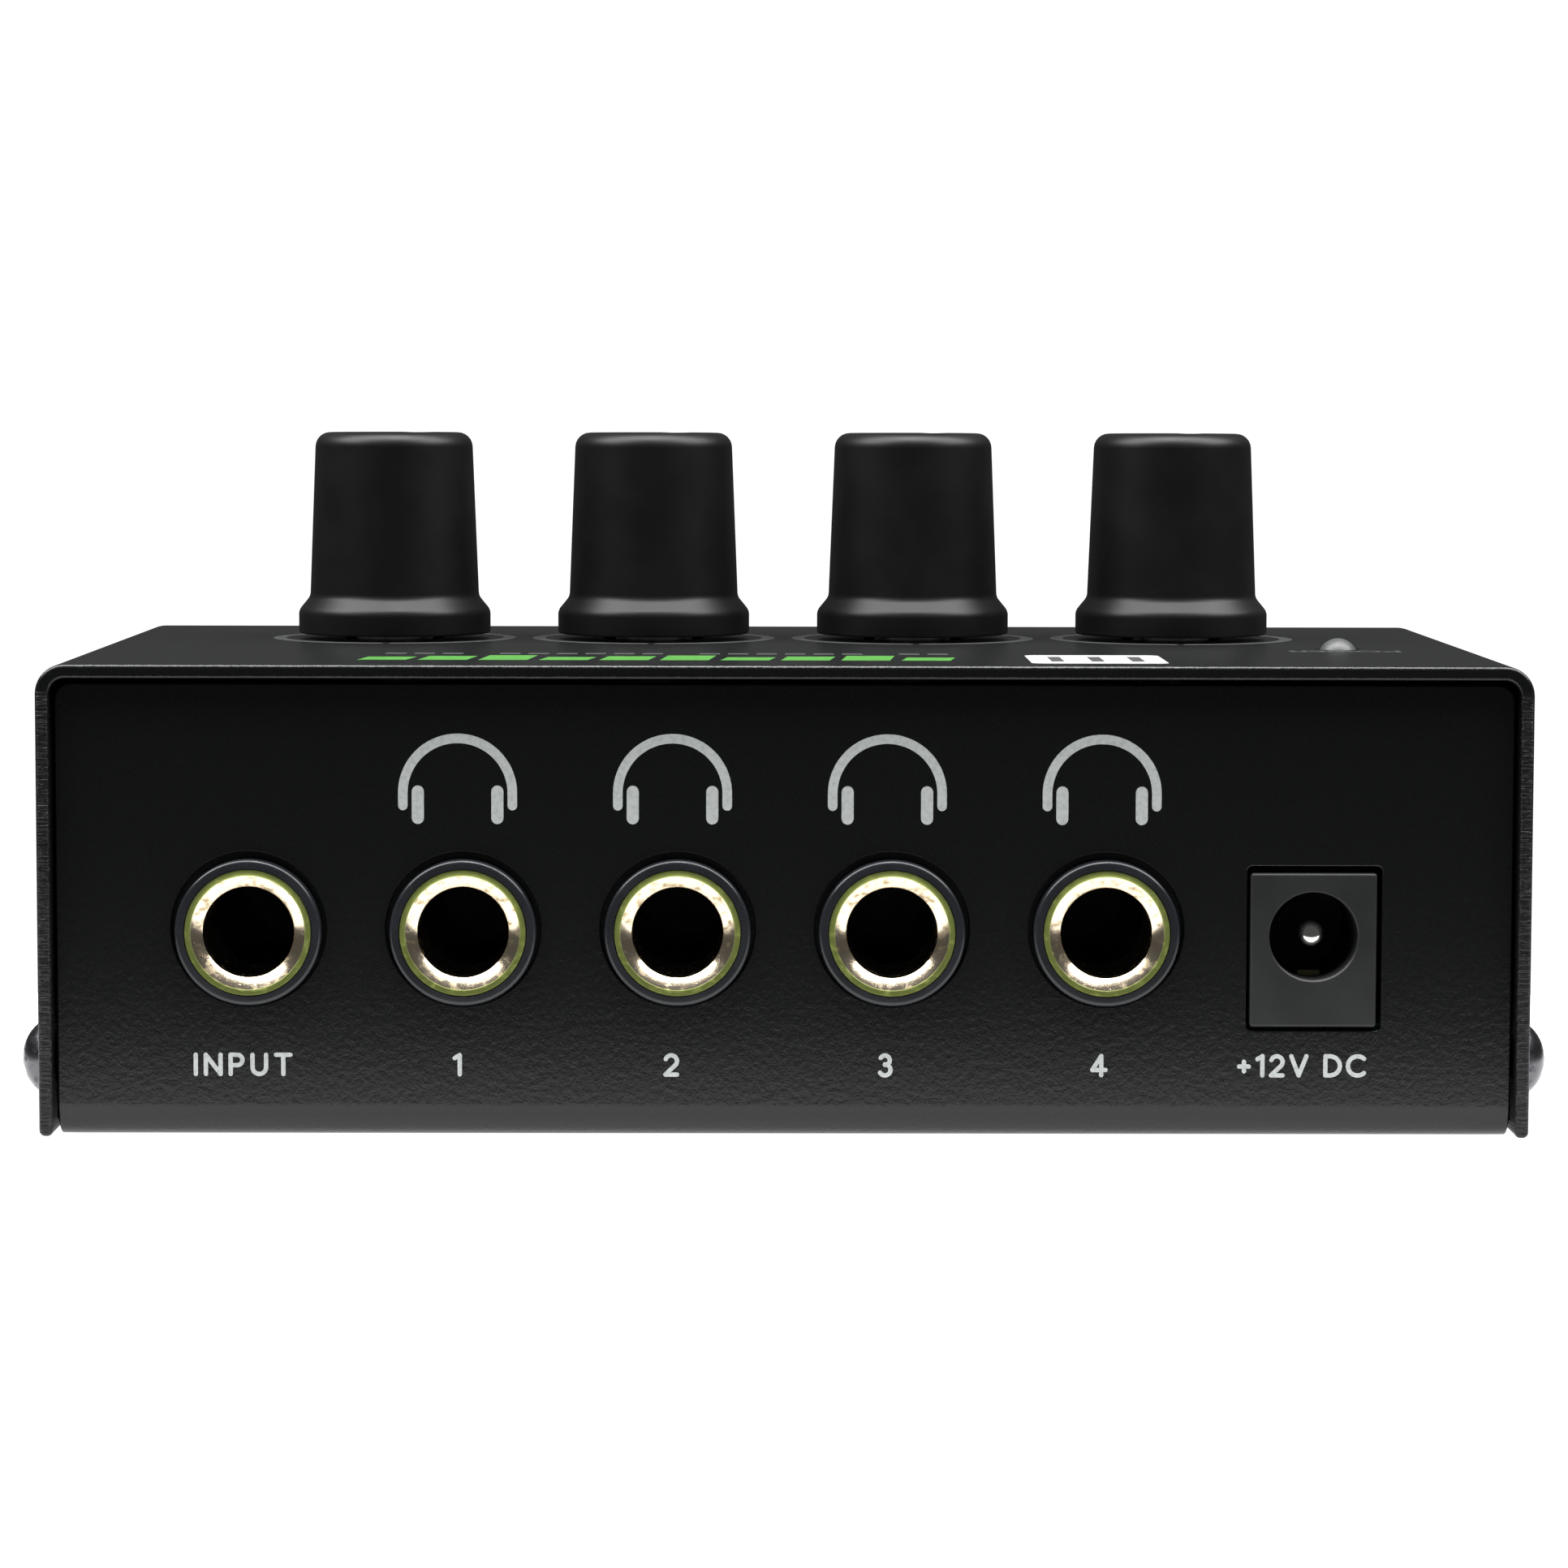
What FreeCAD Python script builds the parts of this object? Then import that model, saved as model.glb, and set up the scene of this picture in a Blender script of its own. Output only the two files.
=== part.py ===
import FreeCAD, Part
import math
import os
from FreeCAD import Vector

# Headphone amplifier: a folded steel case with five 6.35 mm sockets and a DC inlet on the
# panel that faces -Y, and four volume knobs on its top. Millimetres, +Z up. The feet stand
# on z = 0, and the middle of the case is on the Z axis.

# --- driving dimensions -------------------------------------------------------------------
CASE_WIDTH = 106.0
CASE_DEPTH = 58.0
CASE_HEIGHT = 33.83
SHEET = 1.0
FOOT_HEIGHT = 1.0
FOOT_RADIUS = 4.0
FOOT_X = 41.0
FOOT_Y = 14.0

COVER_BEND = 2.1
COVER_LIFT = 0.2
CHASSIS_BEND = 2.5
PANEL_RECESS = 1.0
CHASSIS_HALF_WIDTH = 51.75
PANEL_TOP_GAP = 0.4
PANEL_CORNER = 1.2

COVER_SCREW_Y = 24.0
COVER_SCREW_HEIGHT = 5.28
SCREW_SHANK = 1.45
TAPPED_HOLE = 1.5
CLEARANCE_HOLE = 1.7
SCREW_HEAD_RADIUS = 2.75
SCREW_HEAD_HEIGHT = 1.6
COVER_SCREW_LENGTH = 4.0
RECESS_SPAN = 3.0
RECESS_WIDTH = 0.8
RECESS_DEPTH = 0.9
EAR_LENGTH = 7.7
EAR_BOTTOM = 1.3
EAR_TOP = 11.0

BOARD_TOP_HEIGHT = 8.07
BOARD_THICKNESS = 1.6
BOARD_HALF_WIDTH = 48.8
BOARD_Y = (-26.4, 25.6)
BOARD_FIXINGS = ((-45.5, 6.0), (-45.5, 21.0), (45.5, -21.0), (45.5, 21.0))
STANDOFF_RADIUS = 2.75
STANDOFF_STUB = 2.1
STUB_PLAY = 0.02
STANDOFF_BORE_DEPTH = 4.0
BOARD_SCREW_HEAD = 1.8
BOARD_SCREW_LENGTH = 5.0

JACK_PITCH = 15.24
JACK_NAMES = ("input", "1", "2", "3", "4")
JACK_AXIS_HEIGHT = 14.77
JACK_HALF_WIDTH = 6.3
JACK_BELOW_AXIS = 6.7
JACK_ABOVE_AXIS = 6.5
JACK_BODY_Y = (-26.8, 2.8)
JACK_FRONT_Y = -28.8
NOSE_RADIUS = 5.2
NOSE_ROUND = 0.3
PANEL_HOLE = 5.5
PANEL_HOLE_RISE = 0.22
FERRULE_RADIUS = 4.52
FERRULE_PLAY = 0.03
FERRULE_SETBACK = 0.05
FERRULE_LENGTH = 8.95
SOCKET_BORE = 3.25
CONE_RADIUS = 4.13
CONE_DEPTH = 0.55
PLUG_CAVITY = 3.45
PLUG_CAVITY_END_Y = 1.8
SLOT_HALF_WIDTH = 2.2
LEAF_HALF_WIDTH = 1.5
LEAF_THICKNESS = 0.4
TIP_SLOT_Y = (-14.0, 1.2)
RING_SLOT_Y = (-18.5, -5.0)
RING_SLOT_FLOOR = -5.7
TIP_LEAF = ((-12.4, 5.2), (-5.5, 4.6), (-2.8, 2.3), (-0.6, 4.4))
RING_LEAF = ((-18.3, -5.2), (-9.5, -4.4), (-7.5, -3.3), (-5.6, -4.5))
TIP_ROOT_END_Y = -12.7

INLET_X = 37.6
INLET_WIDTH = 9.0
INLET_HEIGHT = 11.0
INLET_Y = (-28.2, -14.2)
INLET_AXIS_HEIGHT = 14.57
INLET_BORE = 3.15
INLET_BORE_DEPTH = 9.5
INLET_PIN = 1.05
INLET_PIN_SETBACK = 1.0
INLET_EDGE = 0.3
INLET_GAPS = {"left": 0.22, "right": 0.35, "top": 0.48, "bottom": 0.26}
INLET_SPRING_RADIUS = 2.75
INLET_SPRING_WIDTH = 1.6
INLET_SPRING_LENGTH = 6.5

KNOB_PITCH = 20.32
KNOB_Y = 9.4
KNOB_COUNT = 4
KNOB_GAP = 0.4
KNOB_HEIGHT = 15.7
SKIRT_RADIUS = 7.5
SKIRT_HEIGHT = 1.8
CHAMFER_RADIUS = 6.6
CHAMFER_HEIGHT = 2.9
KNOB_TOP_RADIUS = 6.1
KNOB_TOP_ROUND = 1.15
KNOB_WALL = 1.0
KNOB_CAP = 2.2
KNOB_BOSS = 4.3
KNOB_BOSS_LIFT = 1.0
KNOB_REST_ANGLE = 60.0
POINTER_WIDTH = 0.9
POINTER_DEPTH = 0.3
POINTER_INNER = 2.0
POINTER_FOOT = 3.8
SHAFT_RADIUS = 3.0
SHAFT_PLAY = 0.05
SHAFT_FLAT = 1.5
SHAFT_FLAT_LENGTH = 10.0
SHAFT_LENGTH = 30.0
SHAFT_HOLE = 3.75

POT_WIDTH = 9.8
POT_DEPTH = 11.4
POT_HEIGHT = 6.8
POT_BRACKET = 0.8
POT_BRACKET_TAB = 2.0
POT_BUSH_RADIUS = 3.9
ROTOR_RADIUS = 4.2
ROTOR_PLAY = 0.1
ROTOR_THICKNESS = 2.1
ROTOR_LIFT = 2.0
ROTOR_HUB = 2.5
ROTOR_NOTCH = 1.0

LED_X = 41.9
LED_Y = -5.0
LED_RADIUS = 1.5
LED_HOLE = 1.6
LED_PROUD = 0.8
LED_LENGTH = 5.1
LED_FLANGE = 1.9
LED_FLANGE_HEIGHT = 1.0
LED_LEAD = 0.25
LED_LEAD_OFFSET = 0.9
HOLDER_RADIUS = 2.4
HOLDER_BORE = 1.6

CAPACITOR_RADIUS = 4.0
CAPACITOR_HEIGHT = 11.5
CAPACITOR_ROUND = 0.5
CAPACITOR_PLACES = ((-20.32, 9.0), (0.0, 9.0), (20.32, 9.0), (34.5, -7.5), (41.5, 3.5))
CHIP_SIZE = (8.6, 3.9, 1.5)
CHIP_LIFT = 0.15
CHIP_LEAD = (0.42, 1.0, 0.25)
CHIP_LEADS_A_SIDE = 7
CHIP_LEAD_PITCH = 1.27
CHIP_Y = 20.4
REGULATOR_SIZE = (6.5, 6.1, 2.3)
REGULATOR_TAB = (5.2, 1.1, 0.5)
REGULATOR_Y = 20.0
SMALL_PART = (3.1, 1.6, 0.6)
SMALL_PART_COUNT = 6
SMALL_PART_PITCH = 13.0
SMALL_PART_ROWS = (16.6, 24.2)

NEAR = 0.01
OVER = 5.0

# --- places worked out from them ----------------------------------------------------------
CASE_BOTTOM = FOOT_HEIGHT
CASE_TOP = CASE_BOTTOM + CASE_HEIGHT
COVER_BOTTOM = CASE_BOTTOM + COVER_LIFT
HALF_WIDTH = CASE_WIDTH / 2
HALF_DEPTH = CASE_DEPTH / 2
PANEL_OUTER = HALF_DEPTH - PANEL_RECESS
PANEL_INNER = PANEL_OUTER - SHEET
PANEL_TOP = CASE_TOP - SHEET - PANEL_TOP_GAP
BOARD_TOP = CASE_BOTTOM + BOARD_TOP_HEIGHT
BOARD_BOTTOM = BOARD_TOP - BOARD_THICKNESS
FLOOR_TOP = CASE_BOTTOM + SHEET
JACK_Z = CASE_BOTTOM + JACK_AXIS_HEIGHT
JACK_XS = [(i - 2.5) * JACK_PITCH for i in range(len(JACK_NAMES))]
INLET_Z = CASE_BOTTOM + INLET_AXIS_HEIGHT
KNOB_XS = [(i - (KNOB_COUNT - 1) / 2) * KNOB_PITCH for i in range(KNOB_COUNT)]
KNOB_BOTTOM = CASE_TOP + KNOB_GAP
POT_TOP = BOARD_TOP + POT_HEIGHT
COVER_SCREW_Z = CASE_BOTTOM + COVER_SCREW_HEIGHT
LED_TIP = CASE_TOP + LED_PROUD

X_AXIS = Vector(1, 0, 0)
Y_AXIS = Vector(0, 1, 0)
Z_AXIS = Vector(0, 0, 1)
ORIGIN = Vector(0, 0, 0)


# --- small helpers ------------------------------------------------------------------------
def block(x, y, z):
    """A box from three (low, high) pairs."""
    return Part.makeBox(x[1] - x[0], y[1] - y[0], z[1] - z[0], Vector(x[0], y[0], z[0]))


def centred_block(size, x, y, z):
    """A box of the given size, centred on x and y, standing on z."""
    return Part.makeBox(size[0], size[1], size[2], Vector(x - size[0] / 2, y - size[1] / 2, z))


def rod(radius, length, start, axis=Z_AXIS):
    """A plain cylinder from a start point along an axis."""
    return Part.makeCylinder(radius, length, start, axis)


def edges_at(shape, **place):
    """The edges of a shape that lie wholly at the given coordinates."""
    return [
        edge
        for edge in shape.Edges
        if all(
            abs(getattr(vertex.Point, name) - value) < NEAR
            for vertex in edge.Vertexes
            for name, value in place.items()
        )
    ]


def turned(points):
    """A solid of revolution about the Z axis from (radius, height) points."""
    corners = [Vector(radius, 0, height) for radius, height in points]
    face = Part.Face(Part.makePolygon(corners + corners[:1]))
    return face.revolve(ORIGIN, Z_AXIS, 360)


def strip(points, half_width, thickness):
    """A bent leaf along (y, z) points, lying across X."""
    low = [Vector(-half_width, y, z) for y, z in points]
    high = [Vector(-half_width, y, z + thickness) for y, z in reversed(points)]
    face = Part.Face(Part.makePolygon(low + high + low[:1]))
    return face.extrude(X_AXIS * 2 * half_width)


def moved(shape, x=0.0, y=0.0, z=0.0):
    """The shape, shifted."""
    shape = shape.copy()
    shape.translate(Vector(x, y, z))
    return shape


def save(name, shape):
    """Write one node as a STEP file."""
    shape.exportStep(f"parts/{name}.step")


# --- case ---------------------------------------------------------------------------------
def top_cover():
    """The folded cover: a top and two sides, open at the floor and at both panels."""
    outside = block((-HALF_WIDTH, HALF_WIDTH), (-HALF_DEPTH, HALF_DEPTH), (COVER_BOTTOM, CASE_TOP))
    bends = edges_at(outside, x=HALF_WIDTH, z=CASE_TOP) + edges_at(outside, x=-HALF_WIDTH, z=CASE_TOP)
    outside = outside.makeFillet(COVER_BEND, bends)
    half = HALF_WIDTH - SHEET
    inner_top = CASE_TOP - SHEET
    inside = block((-half, half), (-HALF_DEPTH - OVER, HALF_DEPTH + OVER), (CASE_BOTTOM - OVER, inner_top))
    bends = edges_at(inside, x=half, z=inner_top) + edges_at(inside, x=-half, z=inner_top)
    cover = outside.cut(inside.makeFillet(COVER_BEND - SHEET, bends))
    holes = [rod(SHAFT_HOLE, OVER, Vector(x, KNOB_Y, inner_top - SHEET)) for x in KNOB_XS]
    holes.append(rod(LED_HOLE, OVER, Vector(LED_X, LED_Y, inner_top - SHEET)))
    for y in (-COVER_SCREW_Y, COVER_SCREW_Y):
        start = Vector(-HALF_WIDTH - OVER, y, COVER_SCREW_Z)
        holes.append(rod(CLEARANCE_HOLE, CASE_WIDTH + 2 * OVER, start, X_AXIS))
    return cover.cut(holes)


def chassis_ear(side, end):
    """One tapped ear, turned in from a panel's edge beside the cover."""
    x = sorted((side * CHASSIS_HALF_WIDTH, side * (CHASSIS_HALF_WIDTH - SHEET)))
    y = sorted((end * (PANEL_INNER + SHEET / 2), end * (PANEL_INNER - EAR_LENGTH)))
    ear = block(x, y, (CASE_BOTTOM + EAR_BOTTOM, CASE_BOTTOM + EAR_TOP))
    return ear.makeFillet(SHEET, edges_at(ear, y=end * (PANEL_INNER - EAR_LENGTH), z=CASE_BOTTOM + EAR_TOP))


def panel_openings():
    """Cutters for the sockets and the DC inlet in the panel that faces -Y."""
    start_y = -PANEL_OUTER - OVER
    length = 2 * OVER
    cutters = [
        rod(PANEL_HOLE, length, Vector(x, start_y, JACK_Z + PANEL_HOLE_RISE), Y_AXIS) for x in JACK_XS
    ]
    x = (
        INLET_X - INLET_WIDTH / 2 - INLET_GAPS["left"],
        INLET_X + INLET_WIDTH / 2 + INLET_GAPS["right"],
    )
    z = (BOARD_TOP - INLET_GAPS["bottom"], BOARD_TOP + INLET_HEIGHT + INLET_GAPS["top"])
    cutters.append(block(x, (start_y, start_y + length), z))
    return cutters


def lower_chassis():
    """The folded chassis: jack panel, floor, opposite panel and four tapped ears."""
    half = CHASSIS_HALF_WIDTH
    outside = block((-half, half), (-PANEL_OUTER, PANEL_OUTER), (CASE_BOTTOM, PANEL_TOP))
    bends = edges_at(outside, y=PANEL_OUTER, z=CASE_BOTTOM)
    bends += edges_at(outside, y=-PANEL_OUTER, z=CASE_BOTTOM)
    outside = outside.makeFillet(CHASSIS_BEND, bends)
    inside = block((-half - OVER, half + OVER), (-PANEL_INNER, PANEL_INNER), (FLOOR_TOP, PANEL_TOP + OVER))
    bends = edges_at(inside, y=PANEL_INNER, z=FLOOR_TOP) + edges_at(inside, y=-PANEL_INNER, z=FLOOR_TOP)
    chassis = outside.cut(inside.makeFillet(CHASSIS_BEND - SHEET, bends))
    corners = edges_at(chassis, x=half, z=PANEL_TOP) + edges_at(chassis, x=-half, z=PANEL_TOP)
    chassis = chassis.makeFillet(PANEL_CORNER, corners)
    ears = [chassis_ear(side, end) for side in (-1, 1) for end in (-1, 1)]
    chassis = chassis.fuse(ears)
    cutters = panel_openings()
    for y in (-COVER_SCREW_Y, COVER_SCREW_Y):
        start = Vector(-half - OVER, y, COVER_SCREW_Z)
        cutters.append(rod(TAPPED_HOLE, 2 * (half + OVER), start, X_AXIS))
    for x, y in BOARD_FIXINGS:
        cutters.append(rod(STANDOFF_STUB + STUB_PLAY, 2 * SHEET, Vector(x, y, CASE_BOTTOM - SHEET / 2)))
    return chassis.cut(cutters).removeSplitter()


def domed_screw(head_height, length):
    """A screw that points down: domed cross-recess head on z = 0 and a plain shank."""
    ball = (SCREW_HEAD_RADIUS**2 + head_height**2) / (2 * head_height)
    head = rod(SCREW_HEAD_RADIUS, head_height, ORIGIN)
    head = head.common(Part.makeSphere(ball, Vector(0, 0, head_height - ball)))
    for size in ((RECESS_SPAN, RECESS_WIDTH), (RECESS_WIDTH, RECESS_SPAN)):
        head = head.cut(centred_block((size[0], size[1], RECESS_DEPTH), 0, 0, head_height - RECESS_DEPTH))
    return head.fuse(rod(SCREW_SHANK, length, Vector(0, 0, -length)))


def cover_screws():
    """Four screws through the cover's sides into the chassis ears."""
    screws = []
    for side in (-1, 1):
        for y in (-COVER_SCREW_Y, COVER_SCREW_Y):
            screw = domed_screw(SCREW_HEAD_HEIGHT, COVER_SCREW_LENGTH)
            screw.rotate(ORIGIN, Y_AXIS, side * 90)
            screws.append(moved(screw, side * HALF_WIDTH, y, COVER_SCREW_Z))
    return Part.makeCompound(screws)


def rubber_feet():
    """Four round feet under the floor."""
    feet = []
    for x in (-FOOT_X, FOOT_X):
        for y in (-FOOT_Y, FOOT_Y):
            foot = rod(FOOT_RADIUS, FOOT_HEIGHT, Vector(x, y, 0))
            feet.append(foot.makeChamfer(FOOT_HEIGHT / 4, edges_at(foot, z=0)))
    return Part.makeCompound(feet)


# --- board --------------------------------------------------------------------------------
def main_board():
    """The circuit board, with its four fixing holes."""
    board = block((-BOARD_HALF_WIDTH, BOARD_HALF_WIDTH), BOARD_Y, (BOARD_BOTTOM, BOARD_TOP))
    holes = [rod(CLEARANCE_HOLE, OVER, Vector(x, y, BOARD_BOTTOM - SHEET)) for x, y in BOARD_FIXINGS]
    return board.cut(holes)


def board_standoffs():
    """Four tapped standoffs, each with a stub pressed flush into the floor."""
    posts = []
    for x, y in BOARD_FIXINGS:
        post = rod(STANDOFF_RADIUS, BOARD_BOTTOM - FLOOR_TOP, Vector(x, y, FLOOR_TOP))
        post = post.fuse(rod(STANDOFF_STUB, SHEET, Vector(x, y, CASE_BOTTOM)))
        bore = rod(TAPPED_HOLE, STANDOFF_BORE_DEPTH, Vector(x, y, BOARD_BOTTOM - STANDOFF_BORE_DEPTH))
        posts.append(post.cut(bore))
    return Part.makeCompound(posts)


def board_screws():
    """Four screws that hold the board to its standoffs."""
    screw = domed_screw(BOARD_SCREW_HEAD, BOARD_SCREW_LENGTH)
    return Part.makeCompound([moved(screw, x, y, BOARD_TOP) for x, y in BOARD_FIXINGS])


def electrolytic_capacitors():
    """The tall round capacitors."""
    cans = []
    for x, y in CAPACITOR_PLACES:
        can = rod(CAPACITOR_RADIUS, CAPACITOR_HEIGHT, Vector(x, y, BOARD_TOP))
        cans.append(can.makeFillet(CAPACITOR_ROUND, edges_at(can, z=BOARD_TOP + CAPACITOR_HEIGHT)))
    return Part.makeCompound(cans)


def amplifier_chip(x):
    """One amplifier chip with a row of leads on each long side."""
    chip = centred_block(CHIP_SIZE, x, CHIP_Y, BOARD_TOP + CHIP_LIFT)
    leads = []
    for side in (-1, 1):
        for i in range(CHIP_LEADS_A_SIDE):
            lead_x = x + (i - (CHIP_LEADS_A_SIDE - 1) / 2) * CHIP_LEAD_PITCH
            lead_y = CHIP_Y + side * (CHIP_SIZE[1] + CHIP_LEAD[1]) / 2
            size = (CHIP_LEAD[0], CHIP_LEAD[1], CHIP_LIFT + CHIP_LEAD[2])
            leads.append(centred_block(size, lead_x, lead_y, BOARD_TOP))
    return chip.fuse(leads)


def voltage_regulator():
    """The regulator, flat on the board with its metal tab."""
    body = centred_block(REGULATOR_SIZE, 0, REGULATOR_Y, BOARD_TOP)
    tab_y = REGULATOR_Y + (REGULATOR_SIZE[1] + REGULATOR_TAB[1]) / 2
    tab = centred_block(REGULATOR_TAB, 0, tab_y, BOARD_TOP)
    return body.fuse(tab)


def small_parts():
    """Resistors and small capacitors, in two rows behind the controls."""
    chips = []
    for y in SMALL_PART_ROWS:
        for i in range(SMALL_PART_COUNT):
            x = (i - (SMALL_PART_COUNT - 1) / 2) * SMALL_PART_PITCH
            chips.append(centred_block(SMALL_PART, x, y, BOARD_TOP))
    return Part.makeCompound(chips)


# --- sockets (built round the axis at x = 0, z = 0, then moved to their places) ------------
def jack_housing():
    """The moulded socket body: nose, plug cavity and spring slots."""
    body = block((-JACK_HALF_WIDTH, JACK_HALF_WIDTH), JACK_BODY_Y, (-JACK_BELOW_AXIS, JACK_ABOVE_AXIS))
    nose_length = JACK_BODY_Y[0] - JACK_FRONT_Y
    nose = rod(NOSE_RADIUS, nose_length, Vector(0, JACK_FRONT_Y, 0), Y_AXIS)
    nose = nose.makeFillet(NOSE_ROUND, edges_at(nose, y=JACK_FRONT_Y))
    seat_end = JACK_FRONT_Y + FERRULE_SETBACK + FERRULE_LENGTH
    seat = rod(FERRULE_RADIUS + FERRULE_PLAY, seat_end - JACK_FRONT_Y, Vector(0, JACK_FRONT_Y, 0), Y_AXIS)
    cavity = rod(PLUG_CAVITY, PLUG_CAVITY_END_Y - JACK_FRONT_Y, Vector(0, JACK_FRONT_Y, 0), Y_AXIS)
    slot_x = (-SLOT_HALF_WIDTH, SLOT_HALF_WIDTH)
    tip_slot = block(slot_x, TIP_SLOT_Y, (0, JACK_ABOVE_AXIS + OVER))
    ring_slot = block(slot_x, RING_SLOT_Y, (RING_SLOT_FLOOR, 0))
    return body.fuse(nose).cut([seat, cavity, tip_slot, ring_slot])


def jack_ferrule():
    """The brass sleeve that takes the plug, with a shallow lead-in cone."""
    front = JACK_FRONT_Y + FERRULE_SETBACK
    sleeve = rod(FERRULE_RADIUS, FERRULE_LENGTH, Vector(0, front, 0), Y_AXIS)
    bore = rod(SOCKET_BORE, FERRULE_LENGTH, Vector(0, front, 0), Y_AXIS)
    cone = Part.makeCone(CONE_RADIUS, SOCKET_BORE, CONE_DEPTH, Vector(0, front, 0), Y_AXIS)
    return sleeve.cut([bore, cone])


def jack_tip_spring():
    """The leaf that the plug's tip lifts."""
    return strip([(y, z - LEAF_THICKNESS / 2) for y, z in TIP_LEAF], LEAF_HALF_WIDTH, LEAF_THICKNESS)


def jack_contacts():
    """The fixed contacts: the tip leaf's root and the ring leaf with its leg."""
    root_z = TIP_LEAF[0][1]
    root = block(
        (-LEAF_HALF_WIDTH, LEAF_HALF_WIDTH),
        (TIP_SLOT_Y[0], TIP_ROOT_END_Y),
        (root_z - LEAF_THICKNESS / 2, root_z + LEAF_THICKNESS / 2),
    )
    ring = strip([(y, z - LEAF_THICKNESS / 2) for y, z in RING_LEAF], LEAF_HALF_WIDTH, LEAF_THICKNESS)
    return Part.makeCompound([root, ring])


# --- DC inlet -----------------------------------------------------------------------------
def inlet_spring_box(grow):
    """The space of the sleeve spring under the inlet's bore, grown by a little for its slot."""
    top = INLET_Z - INLET_SPRING_RADIUS
    half = INLET_SPRING_WIDTH / 2 + grow
    y = (INLET_Y[0] + INLET_BORE_DEPTH - INLET_SPRING_LENGTH, INLET_Y[0] + INLET_BORE_DEPTH)
    return block((INLET_X - half, INLET_X + half), y, (top - LEAF_THICKNESS - grow, top))


def dc_inlet_housing():
    """The moulded inlet block, its round mouth and the slot for its spring."""
    x = (INLET_X - INLET_WIDTH / 2, INLET_X + INLET_WIDTH / 2)
    body = block(x, INLET_Y, (BOARD_TOP, BOARD_TOP + INLET_HEIGHT))
    body = body.makeFillet(INLET_EDGE, edges_at(body, y=INLET_Y[0]))
    bore = rod(INLET_BORE, INLET_BORE_DEPTH, Vector(INLET_X, INLET_Y[0], INLET_Z), Y_AXIS)
    return body.cut([bore, inlet_spring_box(LEAF_THICKNESS / 4)])


def dc_inlet_pin():
    """The inlet's centre pin, with a domed tip."""
    tip = INLET_Y[0] + INLET_PIN_SETBACK
    start = Vector(INLET_X, tip + INLET_PIN, INLET_Z)
    floor = INLET_Y[0] + INLET_BORE_DEPTH
    return rod(INLET_PIN, floor - start.y, start, Y_AXIS).fuse(Part.makeSphere(INLET_PIN, start))


def dc_inlet_spring():
    """The flat spring that the plug's sleeve rubs on."""
    return inlet_spring_box(0)


# --- power light --------------------------------------------------------------------------
def power_led():
    """A 3 mm lamp in the cover, with its flange and two long leads."""
    lens_bottom = LED_TIP - LED_LENGTH
    shoulder = LED_TIP - LED_RADIUS
    lens = rod(LED_RADIUS, shoulder - lens_bottom, Vector(LED_X, LED_Y, lens_bottom))
    lens = lens.fuse(Part.makeSphere(LED_RADIUS, Vector(LED_X, LED_Y, shoulder)))
    lens = lens.fuse(rod(LED_FLANGE, LED_FLANGE_HEIGHT, Vector(LED_X, LED_Y, lens_bottom)))
    leads = [
        rod(LED_LEAD, lens_bottom - BOARD_TOP, Vector(LED_X + side * LED_LEAD_OFFSET, LED_Y, BOARD_TOP))
        for side in (-1, 1)
    ]
    return lens.fuse(leads)


def led_holder():
    """The spacer tube that holds the lamp up to the cover."""
    height = LED_TIP - LED_LENGTH - BOARD_TOP
    tube = rod(HOLDER_RADIUS, height, Vector(LED_X, LED_Y, BOARD_TOP))
    return tube.cut(rod(HOLDER_BORE, height, Vector(LED_X, LED_Y, BOARD_TOP)))


# --- volume controls (built round the Z axis, pointer towards +X) ---------------------------
def knob_outside(inset):
    """The knob's outer form, drawn in by an inset all over its sides and top."""
    top = KNOB_HEIGHT - inset
    form = turned(
        [
            (0, 0),
            (SKIRT_RADIUS - inset, 0),
            (SKIRT_RADIUS - inset, SKIRT_HEIGHT),
            (CHAMFER_RADIUS - inset, CHAMFER_HEIGHT),
            (KNOB_TOP_RADIUS - inset, top),
            (0, top),
        ]
    )
    return form.makeFillet(KNOB_TOP_ROUND - inset, edges_at(form, z=top))


def shaft_section(radius, flat, length, start_z):
    """A round bar with one flat that faces +X."""
    bar = rod(radius, length, Vector(0, 0, start_z))
    return bar.cut(block((flat, flat + OVER), (-OVER, OVER), (start_z - OVER, start_z + length + OVER)))


def knob_pointer():
    """The pointer let into the knob's top and side."""
    shell = knob_outside(0).cut(knob_outside(POINTER_DEPTH))
    half = POINTER_WIDTH / 2
    return shell.common(block((POINTER_INNER, SKIRT_RADIUS), (-half, half), (POINTER_FOOT, KNOB_HEIGHT)))


def knob():
    """A volume knob: hollow below, with a D-bore boss."""
    cap = KNOB_HEIGHT - KNOB_CAP
    skirt_cavity = rod(SKIRT_RADIUS - KNOB_WALL, SKIRT_HEIGHT - KNOB_BOSS_LIFT / 2, ORIGIN)
    cavity = rod(KNOB_TOP_RADIUS - KNOB_WALL, cap, ORIGIN)
    boss = rod(KNOB_BOSS, cap - KNOB_BOSS_LIFT, Vector(0, 0, KNOB_BOSS_LIFT))
    shaft_end = POT_TOP + SHAFT_LENGTH - KNOB_BOTTOM
    bore = rod(SHAFT_RADIUS + SHAFT_PLAY, shaft_end - SHAFT_FLAT_LENGTH, ORIGIN)
    keyed = shaft_section(SHAFT_RADIUS + SHAFT_PLAY, SHAFT_FLAT + SHAFT_PLAY, shaft_end + SHAFT_PLAY, 0)
    return knob_outside(0).cut([skirt_cavity, cavity]).fuse(boss).cut([bore, keyed, knob_pointer()])


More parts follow.
